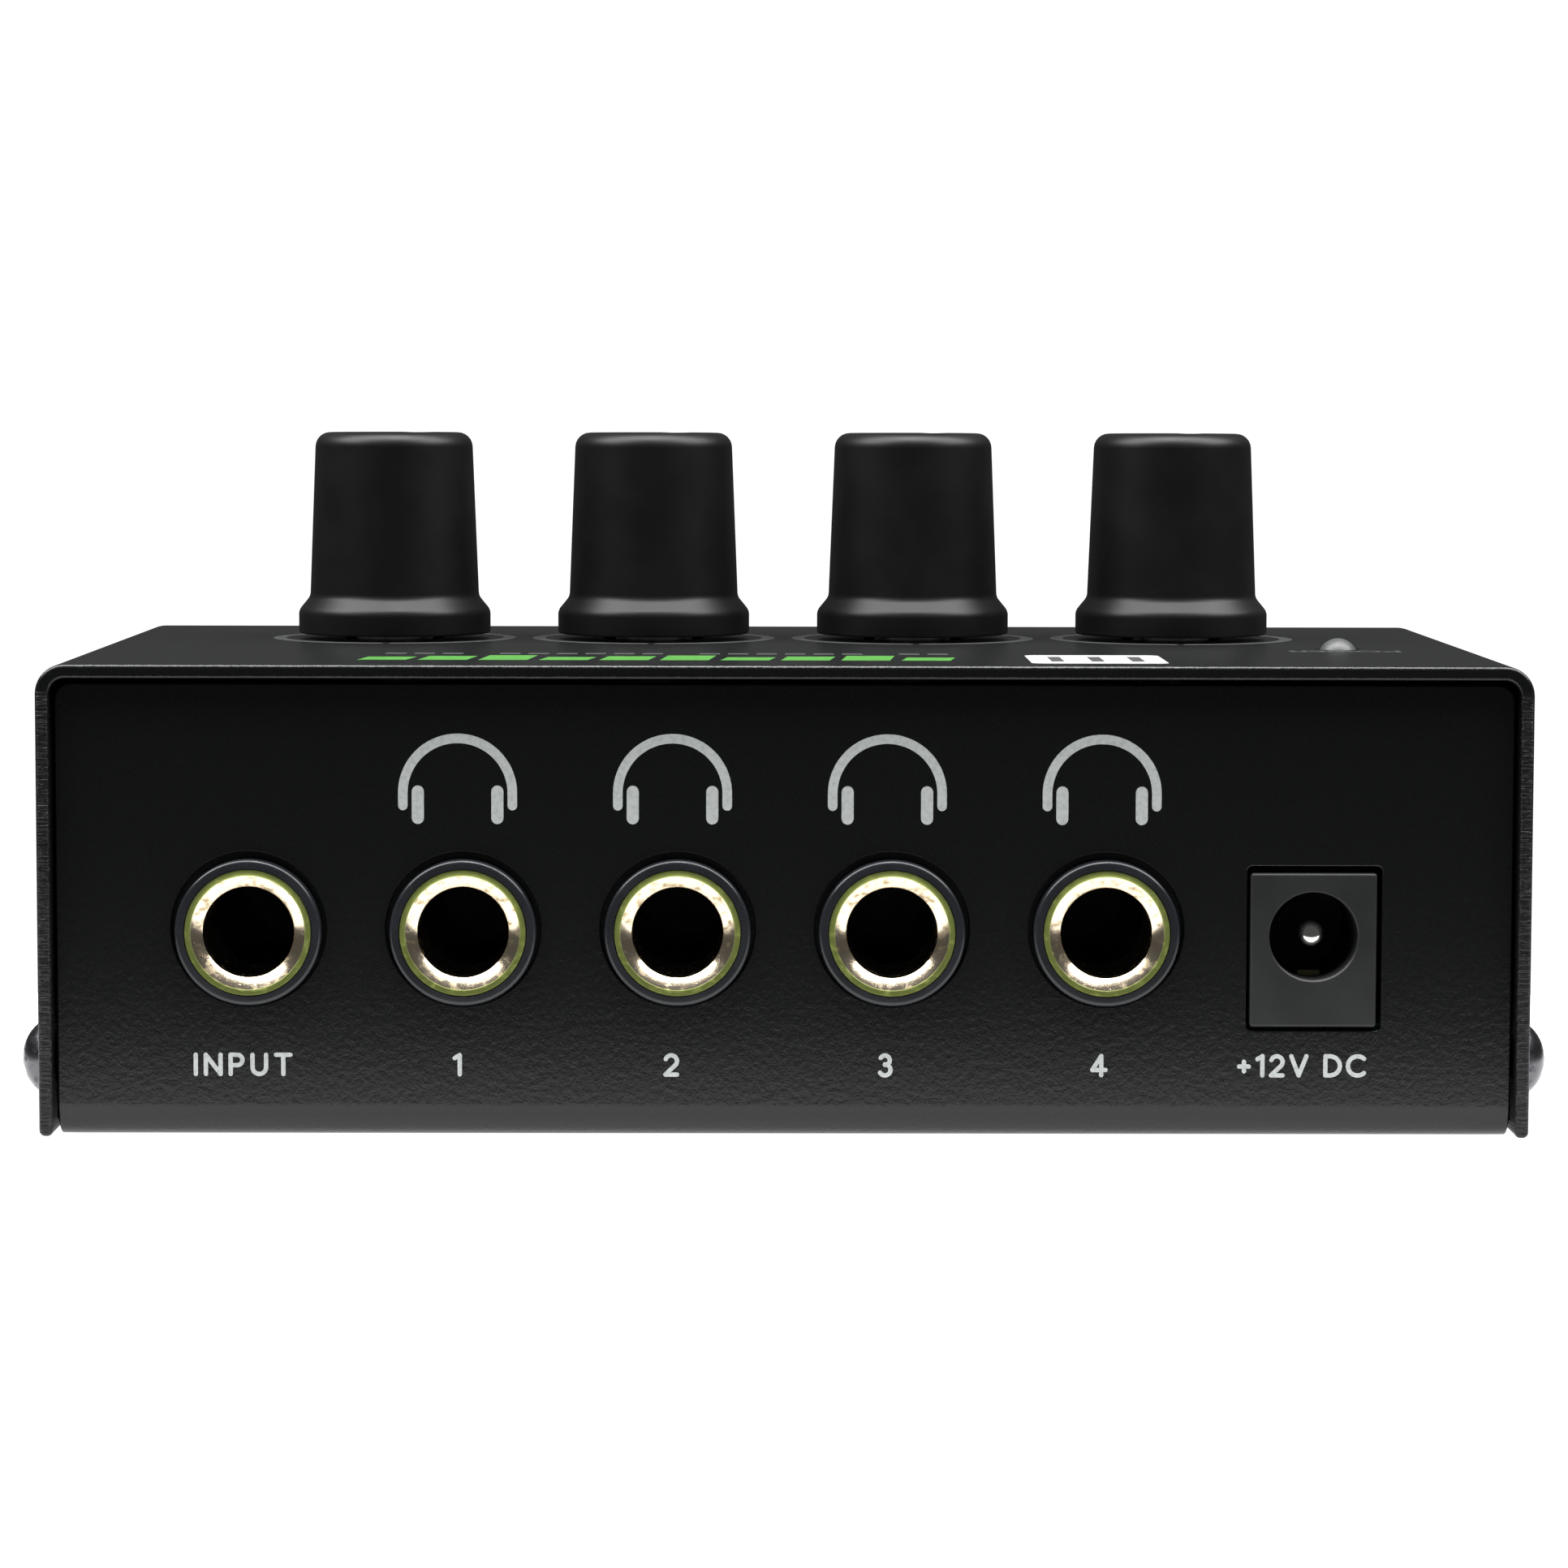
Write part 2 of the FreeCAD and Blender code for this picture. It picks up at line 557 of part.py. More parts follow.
def pot_shaft():
    """The long control shaft, with its flat at the top."""
    start = BOARD_TOP + ROTOR_LIFT + ROTOR_PLAY + ROTOR_THICKNESS
    end = POT_TOP + SHAFT_LENGTH
    plain = rod(SHAFT_RADIUS, end - SHAFT_FLAT_LENGTH - start, Vector(0, 0, start))
    return plain.fuse(shaft_section(SHAFT_RADIUS, SHAFT_FLAT, SHAFT_FLAT_LENGTH, end - SHAFT_FLAT_LENGTH))


def pot_wiper():
    """The rotor under the shaft, notched where its wiper sits."""
    start = BOARD_TOP + ROTOR_LIFT + ROTOR_PLAY
    rotor = rod(ROTOR_RADIUS, ROTOR_THICKNESS, Vector(0, 0, start))
    half = ROTOR_NOTCH / 2
    z = (start, start + ROTOR_THICKNESS)
    return rotor.cut(block((ROTOR_HUB, ROTOR_RADIUS + OVER), (-half, half), z))


def pot_body():
    """The moulded control body, with the round well that its rotor turns in."""
    height = POT_HEIGHT - 2 * POT_BRACKET
    body = centred_block((POT_WIDTH, POT_DEPTH, height), 0, 0, BOARD_TOP)
    return body.cut(rod(ROTOR_RADIUS + ROTOR_PLAY, height, Vector(0, 0, BOARD_TOP + ROTOR_LIFT)))


def pot_bracket():
    """The metal plate over the body, its bush for the shaft and its two side tabs."""
    plate_bottom = POT_TOP - 2 * POT_BRACKET
    plate = centred_block((POT_WIDTH + 2 * POT_BRACKET, POT_DEPTH, POT_BRACKET), 0, 0, plate_bottom)
    bush = rod(POT_BUSH_RADIUS, POT_BRACKET, Vector(0, 0, plate_bottom + POT_BRACKET))
    tabs = []
    for side in (-1, 1):
        tab_x = side * (POT_WIDTH + POT_BRACKET) / 2
        size = (POT_BRACKET, 2 * POT_BRACKET_TAB, plate_bottom - BOARD_TOP)
        tabs.append(centred_block(size, tab_x, 0, BOARD_TOP))
    bracket = plate.fuse([bush] + tabs)
    return bracket.cut(rod(SHAFT_RADIUS + SHAFT_PLAY, OVER, Vector(0, 0, plate_bottom - POT_BRACKET)))


def placed_control(shape, x, z=0.0):
    """A piece of a volume control, turned to its lowest setting and put in its place."""
    shape.rotate(ORIGIN, Z_AXIS, KNOB_REST_ANGLE)
    return moved(shape, x, KNOB_Y, z)


# --- assembly -----------------------------------------------------------------------------
def save_case():
    """Write the case, its feet and its screws."""
    save("top_cover", top_cover())
    save("lower_chassis", lower_chassis())
    save("cover_screws", cover_screws())
    save("rubber_feet", rubber_feet())


def save_board():
    """Write the board and what stands on it."""
    save("main_board", main_board())
    save("board_standoffs", board_standoffs())
    save("board_screws", board_screws())
    save("electrolytic_capacitors", electrolytic_capacitors())
    save("amplifier_chips", Part.makeCompound([amplifier_chip(x) for x in KNOB_XS]))
    save("voltage_regulator", voltage_regulator())
    save("small_parts", small_parts())
    save("power_led", power_led())
    save("led_holder", led_holder())


def save_sockets():
    """Write the five sockets and the DC inlet."""
    for name, x in zip(JACK_NAMES, JACK_XS):
        save(f"jack_housing_{name}", moved(jack_housing(), x, 0, JACK_Z))
        save(f"jack_ferrule_{name}", moved(jack_ferrule(), x, 0, JACK_Z))
        save(f"jack_tip_spring_{name}", moved(jack_tip_spring(), x, 0, JACK_Z))
        save(f"jack_contacts_{name}", moved(jack_contacts(), x, 0, JACK_Z))
    save("dc_inlet_housing", dc_inlet_housing())
    save("dc_inlet_pin", dc_inlet_pin())
    save("dc_inlet_spring", dc_inlet_spring())


def save_controls():
    """Write the four volume controls."""
    for number, x in enumerate(KNOB_XS, start=1):
        save(f"knob_{number}", placed_control(knob(), x, KNOB_BOTTOM))
        save(f"knob_pointer_{number}", placed_control(knob_pointer(), x, KNOB_BOTTOM))
        save(f"pot_shaft_{number}", placed_control(pot_shaft(), x))
        save(f"pot_wiper_{number}", placed_control(pot_wiper(), x))
        save(f"pot_body_{number}", moved(pot_body(), x, KNOB_Y))
    save("pot_brackets", Part.makeCompound([moved(pot_bracket(), x, KNOB_Y) for x in KNOB_XS]))


os.makedirs("parts", exist_ok=True)
save_case()
save_board()
save_sockets()
save_controls()
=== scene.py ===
"""The looks of a small headphone amplifier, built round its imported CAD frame.

The case is folded steel in fine black powder coat. Five quarter-inch sockets and a DC inlet
face -Y, and four volume knobs stand on the top. All lengths are metres in the CAD frame.
"""

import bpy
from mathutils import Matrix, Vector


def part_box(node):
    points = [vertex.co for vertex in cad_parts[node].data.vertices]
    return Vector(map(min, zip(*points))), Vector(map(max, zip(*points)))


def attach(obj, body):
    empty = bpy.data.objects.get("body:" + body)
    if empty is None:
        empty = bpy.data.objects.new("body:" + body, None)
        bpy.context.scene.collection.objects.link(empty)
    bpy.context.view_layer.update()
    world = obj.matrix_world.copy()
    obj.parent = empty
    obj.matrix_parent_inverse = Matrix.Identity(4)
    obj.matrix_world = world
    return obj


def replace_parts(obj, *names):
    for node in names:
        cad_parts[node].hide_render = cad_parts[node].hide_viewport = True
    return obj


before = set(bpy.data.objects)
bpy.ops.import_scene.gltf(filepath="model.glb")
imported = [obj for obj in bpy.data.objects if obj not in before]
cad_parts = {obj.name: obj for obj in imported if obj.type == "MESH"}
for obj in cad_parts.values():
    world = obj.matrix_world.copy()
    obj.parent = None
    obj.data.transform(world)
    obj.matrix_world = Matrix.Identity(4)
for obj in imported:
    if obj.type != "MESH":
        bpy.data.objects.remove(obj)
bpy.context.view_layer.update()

import logging
import math
from collections.abc import Callable, Iterable, Sequence
from dataclasses import dataclass, field
from enum import Enum
from types import TracebackType

import bmesh
import bpy
from mathutils import Matrix, Vector

log = logging.getLogger("headphone_amplifier")

MM = 0.001
CASE = "case"
MERGE_DISTANCE = 0.0005 * MM
FULL_TURN = 2 * math.pi
SCREW_HEAD = 2.75 * MM

Pair = tuple[float, float]
Colour = tuple[float, float, float]
Strokes = Iterable[tuple[Sequence[Pair], float]]
Value = "Signal | bpy.types.NodeSocket | float | Sequence[float]"


class Axis(Enum):
    """A row axis, with the order in which a flat outline's two numbers are laid out round it."""

    X = 0
    Y = 1
    Z = 2

    @property
    def vector(self) -> Vector:
        """The unit vector along this axis."""
        return Vector([float(i == self.value) for i in range(3)])

    def point(self, across: float, up: float, along: float) -> Vector:
        """A point given by its place along this axis and its two places in the plane across it.

        Args:
            across: X, or Y for the X axis.
            up: Z, or Y for the Z axis.
            along: The place along this axis.

        Returns:
            The point in the row frame.
        """
        others = [i for i in range(3) if i != self.value]
        place = [0.0, 0.0, 0.0]
        place[others[0]], place[others[1]], place[self.value] = across, up, along
        return Vector(place)


# --- the bench: selecting, shaping and joining meshes ----------------------------------------
def deselect() -> None:
    """Leave edit mode and deselect every object."""
    if bpy.context.object and bpy.context.object.mode != "OBJECT":
        bpy.ops.object.mode_set(mode="OBJECT")
    bpy.ops.object.select_all(action="DESELECT")


def activate(piece: bpy.types.Object) -> None:
    """Make one piece the only selected object and the active one."""
    deselect()
    piece.select_set(True)
    bpy.context.view_layer.objects.active = piece


class EditMode:
    """Edit mode on one piece, entered with nothing selected."""

    def __init__(self, piece: bpy.types.Object, kind: str = "VERT") -> None:
        """Name the piece and whether VERT, EDGE or FACE elements are picked."""
        self.piece = piece
        self.kind = kind

    def __enter__(self) -> "EditMode":
        """Enter edit mode."""
        activate(self.piece)
        bpy.ops.object.mode_set(mode="EDIT")
        bpy.ops.mesh.select_mode(type=self.kind)
        bpy.ops.mesh.select_all(action="DESELECT")
        return self

    def __exit__(
        self, kind: type[BaseException] | None, error: BaseException | None, trace: TracebackType | None
    ) -> None:
        """Go back to object mode."""
        bpy.ops.object.mode_set(mode="OBJECT")

    def pick_edges(self, test: Callable[[Vector, Vector], bool]) -> None:
        """Select the edges whose two end points pass a test."""
        mesh = bmesh.from_edit_mesh(self.piece.data)
        for edge in mesh.edges:
            edge.select_set(test(edge.verts[0].co, edge.verts[1].co))
        bmesh.update_edit_mesh(self.piece.data)


def chain(name: str, points: Sequence[Vector], closed: bool = False) -> bpy.types.Object:
    """A line of vertices, drawn out one after another from a primitive merged to a point.

    Args:
        name: The new object's name.
        points: The places of the vertices in the row frame.
        closed: Whether the last vertex joins the first.

    Returns:
        The object, with edges and no faces.
    """
    deselect()
    bpy.ops.mesh.primitive_plane_add(size=MM, location=points[0])
    piece = bpy.context.object
    piece.name = name
    bpy.ops.object.transform_apply(location=True, rotation=True, scale=True)
    path = [*points, points[0]] if closed else list(points)
    with EditMode(piece):
        bpy.ops.mesh.select_all(action="SELECT")
        bpy.ops.mesh.merge(type="CENTER")
        for start, end in zip(path, path[1:]):
            bpy.ops.mesh.extrude_vertices_move(TRANSFORM_OT_translate={"value": end - start})
        bpy.ops.mesh.select_all(action="SELECT")
        bpy.ops.mesh.remove_doubles(threshold=MERGE_DISTANCE)
    return piece


def close_up(piece: bpy.types.Object) -> None:
    """Merge doubled vertices and turn every face outwards."""
    with EditMode(piece):
        bpy.ops.mesh.select_all(action="SELECT")
        bpy.ops.mesh.remove_doubles(threshold=MERGE_DISTANCE)
        bpy.ops.mesh.normals_make_consistent(inside=False)


def lathe(
    name: str, profile: Sequence[Pair], axis: Axis, centre: Vector, steps: int = 96, closed: bool = False
) -> bpy.types.Object:
    """A turned piece: a profile spun once round an axis.

    Args:
        name: The new object's name.
        profile: (radius, distance along the axis) pairs.
        axis: The axis of the turning.
        centre: A point on it, from which the distances count.
        steps: How many facets go round.
        closed: Whether the profile is a loop, as on a ring.

    Returns:
        The turned object.
    """
    radial = Axis.Y if axis is Axis.X else Axis.X
    points = [centre + radial.vector * radius + axis.vector * along for radius, along in profile]
    piece = chain(name, points, closed)
    with EditMode(piece):
        bpy.ops.mesh.select_all(action="SELECT")
        bpy.ops.mesh.spin(steps=steps, angle=FULL_TURN, center=centre, axis=axis.vector)
    close_up(piece)
    return piece


def prism(name: str, outline: Sequence[Pair], axis: Axis, low: float, high: float) -> bpy.types.Object:
    """A flat outline drawn out along an axis.

    Args:
        name: The new object's name.
        outline: Pairs in the plane across the axis, in the axis's own order.
        axis: The direction of the extrusion.
        low: Where it starts along the axis.
        high: Where it ends.

    Returns:
        The closed object.
    """
    piece = chain(name, [axis.point(across, up, low) for across, up in outline], closed=True)
    with EditMode(piece):
        bpy.ops.mesh.select_all(action="SELECT")
        bpy.ops.mesh.edge_face_add()
        bpy.ops.mesh.extrude_region_move(TRANSFORM_OT_translate={"value": axis.vector * (high - low)})
    close_up(piece)
    return piece


def block(name: str, low: Vector, high: Vector) -> bpy.types.Object:
    """A box between two corners."""
    deselect()
    bpy.ops.mesh.primitive_cube_add(size=1, location=(low + high) / 2, scale=high - low)
    piece = bpy.context.object
    piece.name = name
    bpy.ops.object.transform_apply(location=True, rotation=True, scale=True)
    return piece


def drill(axis: Axis, centre: Vector, radius: float, low: float, high: float) -> bpy.types.Object:
    """A round cutting tool along an axis, between two distances from its centre."""
    return lathe("drill", [(0, low), (radius, low), (radius, high), (0, high)], axis, centre, 64)


def apply_modifier(piece: bpy.types.Object, kind: str, **settings: object) -> None:
    """Add one modifier with its settings and apply it."""
    activate(piece)
    modifier = piece.modifiers.new(kind.lower(), kind)
    for key, value in settings.items():
        setattr(modifier, key, value)
    bpy.ops.object.modifier_apply(modifier=modifier.name)


def combine(piece: bpy.types.Object, operation: str, *tools: bpy.types.Object) -> bpy.types.Object:
    """Cut, join or intersect a piece with other solids, which are used up."""
    for tool in tools:
        apply_modifier(piece, "BOOLEAN", operation=operation, solver="EXACT", object=tool)
        bpy.data.objects.remove(tool)
    return piece


def soften(
    piece: bpy.types.Object, width: float, segments: int = 3, angle: float = 35.0, clamp: bool = True
) -> None:
    """Round every edge sharper than an angle, with the full width even beside short edges if not clamped."""
    apply_modifier(
        piece,
        "BEVEL",
        width=width,
        segments=segments,
        limit_method="ANGLE",
        angle_limit=math.radians(angle),
        use_clamp_overlap=clamp,
    )


def duplicate(piece: bpy.types.Object, name: str, shift: Vector) -> bpy.types.Object:
    """A copy with its own mesh, shifted, with its place in its mesh."""
    activate(piece)
    bpy.ops.object.duplicate(linked=False)
    copy = bpy.context.object
    copy.name = name
    copy.location = shift
    bpy.ops.object.transform_apply(location=True, rotation=True, scale=True)
    return copy


def joined(name: str, pieces: Sequence[bpy.types.Object]) -> bpy.types.Object:
    """Several meshes as one object."""
    activate(pieces[0])
    for piece in pieces[1:]:
        piece.select_set(True)
    if len(pieces) > 1:
        bpy.ops.object.join()
    pieces[0].name = name
    return pieces[0]


def arc(centre: Pair, radius: float, start: float, end: float, steps: int = 8) -> list[Pair]:
    """Points along a round stretch of an outline.

    Args:
        centre: The middle of the arc.
        radius: Its radius.
        start: Its first angle, in degrees.
        end: Its last angle, in degrees.
        steps: How many straight pieces it has.

    Returns:
        steps + 1 points.
    """
    angles = [math.radians(start + (end - start) * i / steps) for i in range(steps + 1)]
    return [(centre[0] + radius * math.cos(a), centre[1] + radius * math.sin(a)) for a in angles]


def rounded(corners: Sequence[tuple[float, float, float]], steps: int = 8) -> list[Pair]:
    """A closed outline whose corners are rounded.

    Args:
        corners: (across, up, radius) for each corner, in order round the outline.
        steps: How many straight pieces each round has.

    Returns:
        The outline's points.
    """
    outline: list[Pair] = []
    for i, (x, y, radius) in enumerate(corners):
        here = Vector((x, y))
        if radius <= 0:
            outline.append((x, y))
            continue
        before = (Vector(corners[i - 1][:2]) - here).normalized()
        after = (Vector(corners[(i + 1) % len(corners)][:2]) - here).normalized()
        half = before.angle(after) / 2
        middle = here + (before + after).normalized() * radius / math.sin(half)
        first = here + before * radius / math.tan(half) - middle
        last = here + after * radius / math.tan(half) - middle
        turn = first.angle_signed(last)
        for step in range(steps + 1):
            spoke = first.copy()
            spoke.rotate(Matrix.Rotation(-turn * step / steps, 2))
            outline.append(tuple(middle + spoke))
    return outline


def dress(
    piece: bpy.types.Object, material: bpy.types.Material, body: str, smooth: float = 35.0
) -> bpy.types.Object:
    """Shade a finished piece, give it its material and let it ride on its body.

    Args:
        piece: The finished mesh.
        material: Its only material.
        body: The CAD body that it moves with.
        smooth: The sharpest angle, in degrees, that is shaded smooth.

    Returns:
        The same piece.
    """
    activate(piece)
    bpy.ops.object.shade_smooth_by_angle(angle=math.radians(smooth))
    apply_modifier(piece, "WEIGHTED_NORMAL", keep_sharp=True, weight=50)
    piece.data.materials.clear()
    piece.data.materials.append(material)
    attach(piece, body)
    log.info("%s: %d faces, rides on %s", piece.name, len(piece.data.polygons), body)
    return piece


# --- shader maths -----------------------------------------------------------------------------
class Signal:
    """A number that varies over a surface. Arithmetic on it adds Math nodes."""

    def __init__(self, nodes: "Nodes", socket: bpy.types.NodeSocket) -> None:
        """Wrap one output socket of a material."""
        self.nodes = nodes
        self.socket = socket

    def maths(self, operation: str, *values: Value) -> "Signal":
        """Add one Math node fed by these values."""
        node = self.nodes.add("ShaderNodeMath", {"operation": operation}, dict(enumerate(values)))
        return Signal(self.nodes, node.outputs[0])

    def __add__(self, other: Value) -> "Signal":
        """Add."""
        return self.maths("ADD", self, other)

    def __radd__(self, other: Value) -> "Signal":
        """Add, with the signal on the right."""
        return self.maths("ADD", other, self)

    def __mul__(self, other: Value) -> "Signal":
        """Multiply."""
        return self.maths("MULTIPLY", self, other)

    def __rmul__(self, other: Value) -> "Signal":
        """Multiply, with the signal on the right."""
        return self.maths("MULTIPLY", other, self)

    def size(self) -> "Signal":
        """The number without its sign."""
        return self.maths("ABSOLUTE", self)

    def between(self, low: float, high: float) -> "Signal":
        """A smooth mask that goes from 0 at low to 1 at high."""
        node = self.nodes.add(
            "ShaderNodeMapRange",
            {"interpolation_type": "SMOOTHSTEP"},
            {"Value": self, "From Min": low, "From Max": high},
        )
        return Signal(self.nodes, node.outputs["Result"])


class Nodes:
    """The node tree of one new material."""

    def __init__(self, name: str) -> None:
        """Start a material with an empty tree that reads object coordinates."""
        self.material = bpy.data.materials.new(name)
        self.material.use_nodes = True
        self.tree = self.material.node_tree
        self.tree.nodes.clear()
        self.place = self.add("ShaderNodeTexCoord").outputs["Object"]

    def add(
        self, kind: str, settings: dict[str, object] | None = None, inputs: dict[object, Value] | None = None
    ) -> bpy.types.Node:
        """Add a node.

        Args:
            kind: The node's type.
            settings: Its own settings, such as a Math node's operation, set first.
            inputs: Values or links for its sockets, by name or number.

        Returns:
            The node.
        """
        node = self.tree.nodes.new(kind)
        for key, value in (settings or {}).items():
            setattr(node, key, value)
        for key, value in (inputs or {}).items():
            if isinstance(value, Signal):
                value = value.socket
            if isinstance(value, bpy.types.NodeSocket):
                self.tree.links.new(value, node.inputs[key])
            else:
                node.inputs[key].default_value = value
        return node

    def axis(self, axis: Axis) -> Signal:
        """The surface point's place along one axis."""
        return Signal(self, self.add("ShaderNodeSeparateXYZ", {}, {0: self.place}).outputs[axis.value])

    def noise(self, pitch: Sequence[float], detail: float = 2.0) -> Signal:
        """Smooth noise from 0 to 1.

        Args:
            pitch: The size of its lumps along X, Y and Z.
            detail: How many finer layers it has.

        Returns:
            The noise.
        """
        scaled = self.add("ShaderNodeMapping", {}, {"Vector": self.place, "Scale": [1 / p for p in pitch]})
        noise = self.add(
            "ShaderNodeTexNoise", {}, {"Vector": scaled.outputs[0], "Scale": 1.0, "Detail": detail}
        )
        return Signal(self, noise.outputs["Fac"])

    def blend(self, share: Value, first: Value, second: Value) -> bpy.types.NodeSocket:
        """Mix two colours."""
        mix = self.add("ShaderNodeMix", {"data_type": "RGBA"}, {0: share, 6: first, 7: second})
        return mix.outputs[2]

    def bump(self, height: Signal, depth: float, under: bpy.types.NodeSocket | None = None) -> Value:
        """A normal from a height of 0 to 1, with its depth in metres, over another normal."""
        inputs = {"Height": height, "Distance": depth, "Strength": 1.0}
        if under is not None:
            inputs["Normal"] = under
        return self.add("ShaderNodeBump", {}, inputs).outputs[0]

    def surface(self, **sockets: Value) -> bpy.types.Material:
        """Close the tree with a Principled shader whose sockets are named with underscores."""
        inputs = {name.replace("_", " "): value for name, value in sockets.items()}
        shader = self.add("ShaderNodeBsdfPrincipled", {}, inputs)
        self.add("ShaderNodeOutputMaterial", {}, {"Surface": shader.outputs[0]})
        return self.material


def opaque(colour: Colour) -> tuple[float, float, float, float]:
    """A colour with full alpha, as a colour socket takes it."""
    return (*colour, 1.0)


# --- finishes ---------------------------------------------------------------------------------
@dataclass(frozen=True)
class PowderCoat:
    """Fine-textured black powder coat, with shear marks showing through on the cover's cut edges."""

    colour: Colour = (0.0032, 0.0035, 0.0038)
    worn: Colour = (0.006, 0.0056, 0.0052)
    peel_pitch: float = 0.42 * MM
    grain_pitch: float = 0.12 * MM
    peel_depth: float = 0.032 * MM
    shear_pitch: tuple[float, float, float] = (2.4 * MM, 1.0 * MM, 0.3 * MM)
    shear_depth: float = 0.04 * MM
    speck_pitch: float = 0.9 * MM
    edge_inside: float = 28.90 * MM
    edge_outside: float = 28.96 * MM
    leg_top: float = 33.4 * MM
    seam: Pair = (52.05 * MM, 52.15 * MM)
    primer: Colour = (0.014, 0.011, 0.005)

    def material(self) -> bpy.types.Material:
        """Build the material."""
        n = Nodes("powder_coat")
        peel = n.noise([self.peel_pitch] * 3, 3.0)
        grain = n.noise([self.grain_pitch] * 3, 1.0)
        edge = n.axis(Axis.Y).size().between(self.edge_inside, self.edge_outside)
        shear = n.noise(self.shear_pitch, 3.0).between(0.38, 0.62)
        speck = n.noise([self.speck_pitch] * 3, 4.0).between(0.66, 0.74)
        edge = edge * n.axis(Axis.Z).between(self.leg_top, self.leg_top - MM)
        colour = n.blend(speck * 0.35 + edge * shear, opaque(self.colour), opaque(self.worn))
        bare = edge * n.axis(Axis.X).size().between(self.seam[1], self.seam[0])
        colour = n.blend(bare, colour, opaque(self.primer))
        normal = n.bump(peel + grain * 0.35, self.peel_depth)
        normal = n.bump(shear * edge, self.shear_depth, normal)
        return n.surface(
            Base_Color=colour,
            Roughness=0.24 + grain * 0.1 + edge * 0.1,
            Specular_IOR_Level=0.42,
            Normal=normal,
        )


@dataclass(frozen=True)
class MouldedPlastic:
    """Black moulded plastic with a fine spark-eroded grain."""

    name: str
    colour: Colour = (0.02, 0.021, 0.023)
    roughness: float = 0.42
    grain_pitch: float = 0.09 * MM
    grain_depth: float = 0.004 * MM
    specular: float = 0.5
    cloud_pitch: float = 3.5 * MM

    def material(self) -> bpy.types.Material:
        """Build the material."""
        n = Nodes(self.name)
        grain = n.noise([self.grain_pitch] * 3, 2.0)
        cloud = n.noise([self.cloud_pitch] * 3, 3.0)
        lighter = tuple(c * 1.35 for c in self.colour)
        return n.surface(
            Base_Color=n.blend(cloud.between(0.35, 0.7), opaque(self.colour), opaque(lighter)),
            Roughness=self.roughness - 0.06 + cloud * 0.1 + grain * 0.04,
            Specular_IOR_Level=self.specular,
            Normal=n.bump(grain, self.grain_depth),
        )


@dataclass(frozen=True)
class TurnedMetal:
    """Plated metal with fine marks of the lathe round an axis along Y, or plain fine scratches; an optional
    face colour on the flat front face is a painted reflection.
    """

    name: str
    colour: Colour
    stain: Colour
    roughness: float = 0.16
    stain_share: float = 0.5
    mark_depth: float = 0.0015 * MM
    stain_pitch: tuple[float, float, float] = (0.7 * MM, 0.9 * MM, 0.5 * MM)
    mark_pitch: tuple[float, float, float] = (0.9 * MM, 0.05 * MM, 0.9 * MM)
    pit_pitch: float = 0.11 * MM
    face: Colour | None = None
    face_y: float = 0.0
    face_band: Pair = (0.02 * MM, 0.06 * MM)

    def material(self) -> bpy.types.Material:
        """Build the material."""
        n = Nodes(self.name)
        stain = n.noise(self.stain_pitch, 6.0).between(0.5, 0.72) * self.stain_share
        marks = n.noise(self.mark_pitch, 2.0)
        pits = n.noise([self.pit_pitch] * 3, 2.0).between(0.6, 0.8)
        colour = n.blend(stain, opaque(self.colour), opaque(self.stain))
        # The face colour is a painted reflection: an olive tint on the flat front face that stands for what
        # that face reflects.
        if self.face:
            near, far = self.face_band
            flat = n.axis(Axis.Y).between(self.face_y + far, self.face_y + near)
            colour = n.blend(flat, colour, opaque(self.face))
            stain = stain + flat
        return n.surface(
            Base_Color=colour,
            Metallic=1.0,
            Roughness=self.roughness + stain * 0.25 + pits * 0.15,
            Normal=n.bump(marks + pits, self.mark_depth),
        )


@dataclass(frozen=True)
class PrintedInk:
    """Screen-printed ink, a little uneven, over the texture of the paint."""

    name: str
    colour: Colour
    thin: float = 0.82
    cover_pitch: float = 0.35 * MM
    tooth_pitch: float = 0.3 * MM
    tooth_depth: float = 0.008 * MM

    def material(self) -> bpy.types.Material:
        """Build the material."""
        n = Nodes(self.name)
        cover = n.noise([self.cover_pitch] * 3, 4.0).between(0.3, 0.6)
        thinner = tuple(c * self.thin for c in self.colour)
        return n.surface(
            Base_Color=n.blend(cover, opaque(thinner), opaque(self.colour)),
            Roughness=0.55 + cover * 0.1,
            Specular_IOR_Level=0.3,
            Normal=n.bump(n.noise([self.tooth_pitch] * 3, 2.0), self.tooth_depth),
        )


@dataclass(frozen=True)
class SolderMask:
    """Green solder mask over glass cloth, with lighter copper runs under it."""

    mask: Colour = (0.008, 0.06, 0.022)
    over_copper: Colour = (0.016, 0.12, 0.04)
    run_pitch: tuple[float, float, float] = (0.8 * MM, 9 * MM, 9 * MM)
    weave_pitch: float = 0.25 * MM
    depth: float = 0.02 * MM

    def material(self) -> bpy.types.Material:
        """Build the material."""
        n = Nodes("solder_mask")
        runs = n.noise(self.run_pitch, 0.0).between(0.49, 0.51)
        weave = n.noise([self.weave_pitch] * 3, 1.0)
        return n.surface(
            Base_Color=n.blend(runs, opaque(self.mask), opaque(self.over_copper)),
            Roughness=0.3 + weave * 0.15,
            Normal=n.bump(runs + weave * 0.3, self.depth),
        )


